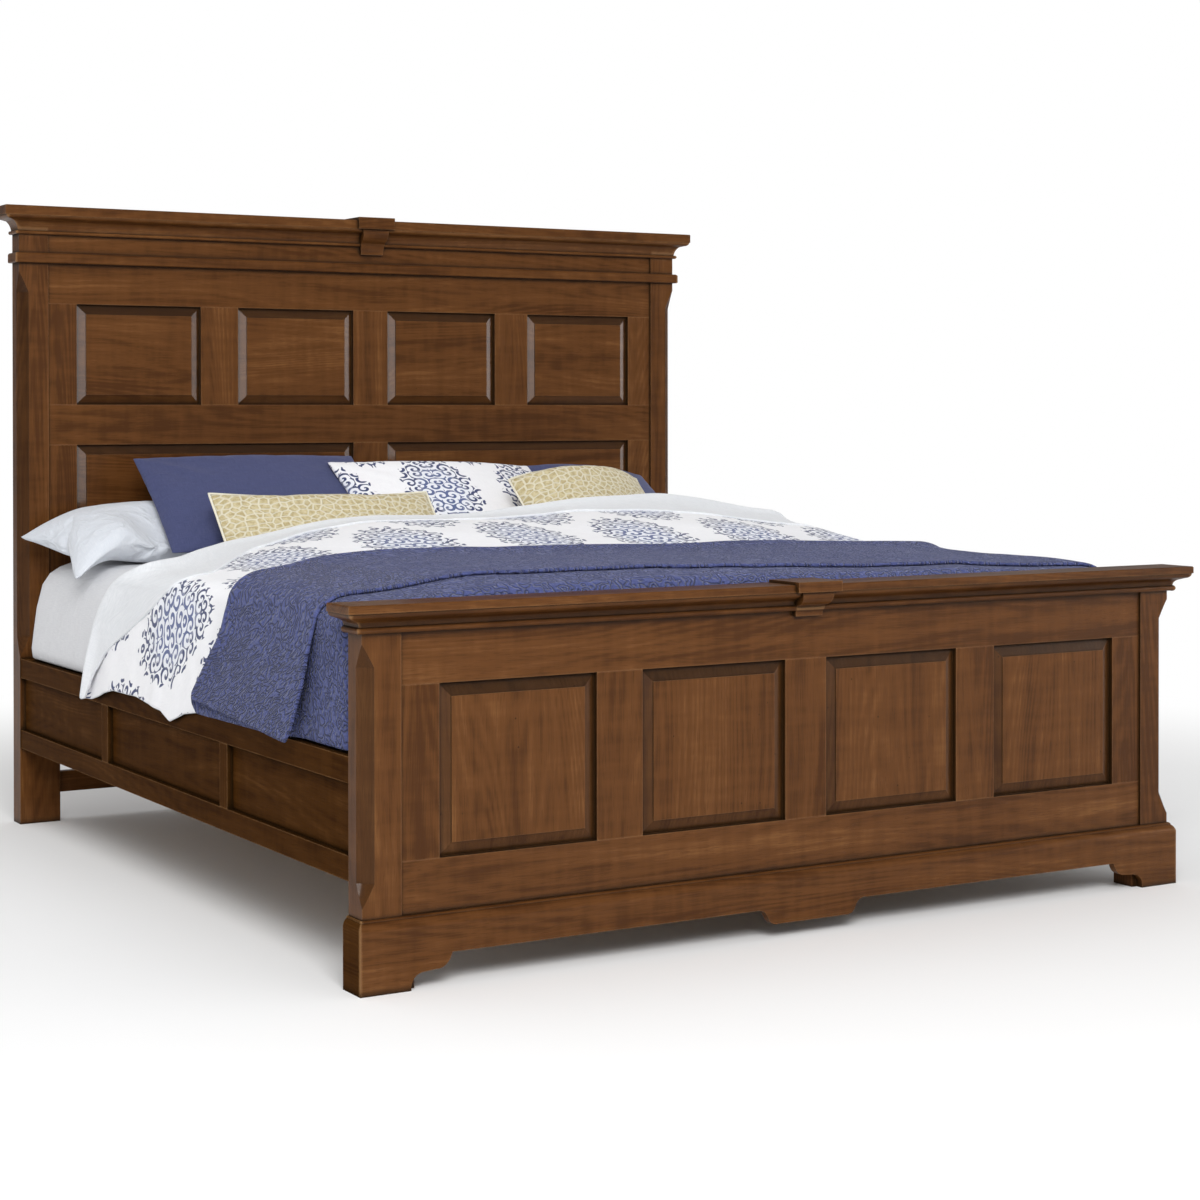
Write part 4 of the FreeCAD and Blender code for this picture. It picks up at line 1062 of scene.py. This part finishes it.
# size across and up, thickness and place of the middle in metres, and lean from lying flat in degrees
pillows = {
    "sleepingPillowLeft": {
        "size": (0.75, 0.46), "thick": 0.150, "at": (-0.668, 0.795, 0.782), "lean": 6.0, "pressure": 2.2,
        "fill": 0.5, "reshape": squashedUnder(1.0), "settle": underSham(-1),
        "cloth": "paleBlueCotton", "slot": "pillow_blue_white", "replaces": "sleeping_pillows"},
    "sleepingPillowRight": {
        "size": (0.74, 0.44), "thick": 0.085, "at": (0.662, 0.806, 0.750), "lean": 4.0, "pressure": 1.5,
        "fill": 0.4, "reshape": squashedUnder(-1.0), "settle": underSham(1),
        "cloth": "paleBlueCotton", "slot": "pillow_blue_white"},
    "navyShamLeft": {
        "size": (0.65, 0.46), "thick": 0.098, "at": (-0.428, 0.770, 0.854), "lean": 31.0,
        "reshape": skewed(-0.035), "cloth": "navyCotton", "slot": "sham_navy", "replaces": "shams"},
    "navyShamRight": {
        "size": (0.66, 0.41), "thick": 0.100, "at": (0.505, 0.758, 0.828), "lean": 31.0,
        "settle": sagEnds(0.03), "cloth": "navyCotton", "slot": "sham_navy"},
    "printedSham": {
        "size": (0.645, 0.41), "thick": 0.105, "at": (0.086, 0.690, 0.838), "lean": 33.0, "roll": 2.0,
        "cloth": "printedCotton", "slot": "sham_print", "replaces": "centre_sham"},
    "goldCushionLeft": {
        "size": (0.625, 0.24), "thick": 0.095, "at": (-0.364, 0.522, 0.794), "lean": 47.0, "roll": 1.0,
        "cell": 0.012, "fill": 0.8, "cloth": "goldWeave", "slot": "cushion_gold",
        "replaces": "lumbar_cushions"},
    "goldCushionRight": {
        "size": (0.53, 0.24), "thick": 0.125, "at": (0.452, 0.575, 0.847), "lean": 52.0, "turn": 14.0,
        "roll": 4.0, "cell": 0.012, "fill": 0.9, "settle": sagEnds(0.045), "cloth": "goldWeave",
        "slot": "cushion_gold"},
}
pipingRadius = 0.0032

madePillows = {name: makePillow(name, look) for name, look in pillows.items()}
for side in ("Left", "Right"):
    cushion, rim = madePillows["goldCushion" + side]
    pipeRound("goldPiping" + side, rim, pipingRadius, cloths["creamPiping"], cushion)
print("pillows done")


# floor and light
studio = {
    "floor": (0.93, 0.93, 0.93), "floorHalf": 14.0, "fadeNear": 1.9, "fadeFar": 3.8,
    "world": 0.58, "keyPower": 600.0, "fillPower": 12.0,
    # soft boxes that only reflections show: azimuths from -Y towards +X in radians, and their strength
    "boxes": ((-0.42, 0.17), (0.87, 1.40)), "boxHigh": 0.45, "boxSoft": 0.05,
    "boxGlow": 14.0, "between": 0.35,
}


def makeFloor():
    half = studio["floorHalf"]
    data = bpy.data.meshes.new("floor")
    data.from_pydata([(-half, -half, 0), (half, -half, 0), (half, half, 0), (-half, half, 0)], [],
                     [(0, 1, 2, 3)])
    floor = placed("floor", data)
    material, tree, shader, result = newMaterial("paleFloor")
    place = objectPlace(tree)
    far = add(tree, "VectorMath", {0: place}, operation="LENGTH").outputs["Value"]
    cloud = noiseOf(tree, place, 3.0, 3.0)
    plug(tree, shader.inputs, {
        "Base Color": mix(tree, cloud, studio["floor"], tuple(v * 0.985 for v in studio["floor"])),
        "Roughness": 0.9, "Specular IOR Level": 0.0,
    })
    glow = add(tree, "Emission", {"Color": (1.0, 1.0, 1.0), "Strength": 1.0})
    seen = add(tree, "LightPath").outputs
    share = times(tree, span(tree, far, studio["fadeNear"], studio["fadeFar"]),
                  calc(tree, "MAXIMUM", seen["Is Camera Ray"], seen["Is Glossy Ray"]))
    blend = add(tree, "MixShader", {0: share, 1: shader.outputs[0], 2: glow.outputs[0]})
    plug(tree, result.inputs, {"Surface": blend.outputs[0]})
    data.materials.append(material)


def makeLight(name, place, aim, size, power):
    data = bpy.data.lights.new(name, "AREA")
    data.shape = "RECTANGLE"
    data.size, data.size_y = size
    data.energy = power
    light = placed(name, data)
    light.location = place
    light.rotation_euler = (Vector(aim) - Vector(place)).to_track_quat("-Z", "Y").to_euler()


def makeWorld():
    world = bpy.data.worlds.new("studio")
    bpy.context.scene.world = world
    world.use_nodes = True
    tree = world.node_tree
    tree.nodes.clear()
    seen = add(tree, "LightPath").outputs
    way = partsOf(tree, add(tree, "TexCoord").outputs["Generated"])
    azimuth = calc(tree, "ARCTAN2", way[0], times(tree, way[1], -1.0))
    soft, high = studio["boxSoft"], studio["boxHigh"]
    boxes = 0.0
    for near, far in studio["boxes"]:
        box = times(tree, span(tree, azimuth, near - soft, near + soft),
                    span(tree, azimuth, far + soft, far - soft))
        boxes = calc(tree, "ADD", boxes, box)
    boxes = times(tree, boxes, span(tree, calc(tree, "ABSOLUTE", way[2]), high, high - 2 * soft))
    shine = scaled(tree, boxes, studio["boxGlow"] - studio["between"], studio["between"])
    white = calc(tree, "MAXIMUM", seen["Is Camera Ray"], seen["Is Transmission Ray"])
    strength = scaled(tree, white, 1.0 - studio["world"], studio["world"])
    glossy = seen["Is Glossy Ray"]
    strength = calc(tree, "ADD", times(tree, glossy, shine),
                    times(tree, strength, calc(tree, "SUBTRACT", 1.0, glossy)))
    sky = add(tree, "Background", {"Color": (1.0, 1.0, 1.0), "Strength": strength})
    add(tree, "OutputWorld", {"Surface": sky.outputs[0]})


makeFloor()
makeWorld()
makeLight("key", (-3.6, -7.2, 5.4), (0.0, 0.0, 0.5), (4.2, 3.4), studio["keyPower"])
makeLight("top", (-0.6, 0.6, 4.6), (0.0, 0.0, 0.5), (4.0, 4.0), studio["fillPower"])
print("stage done")
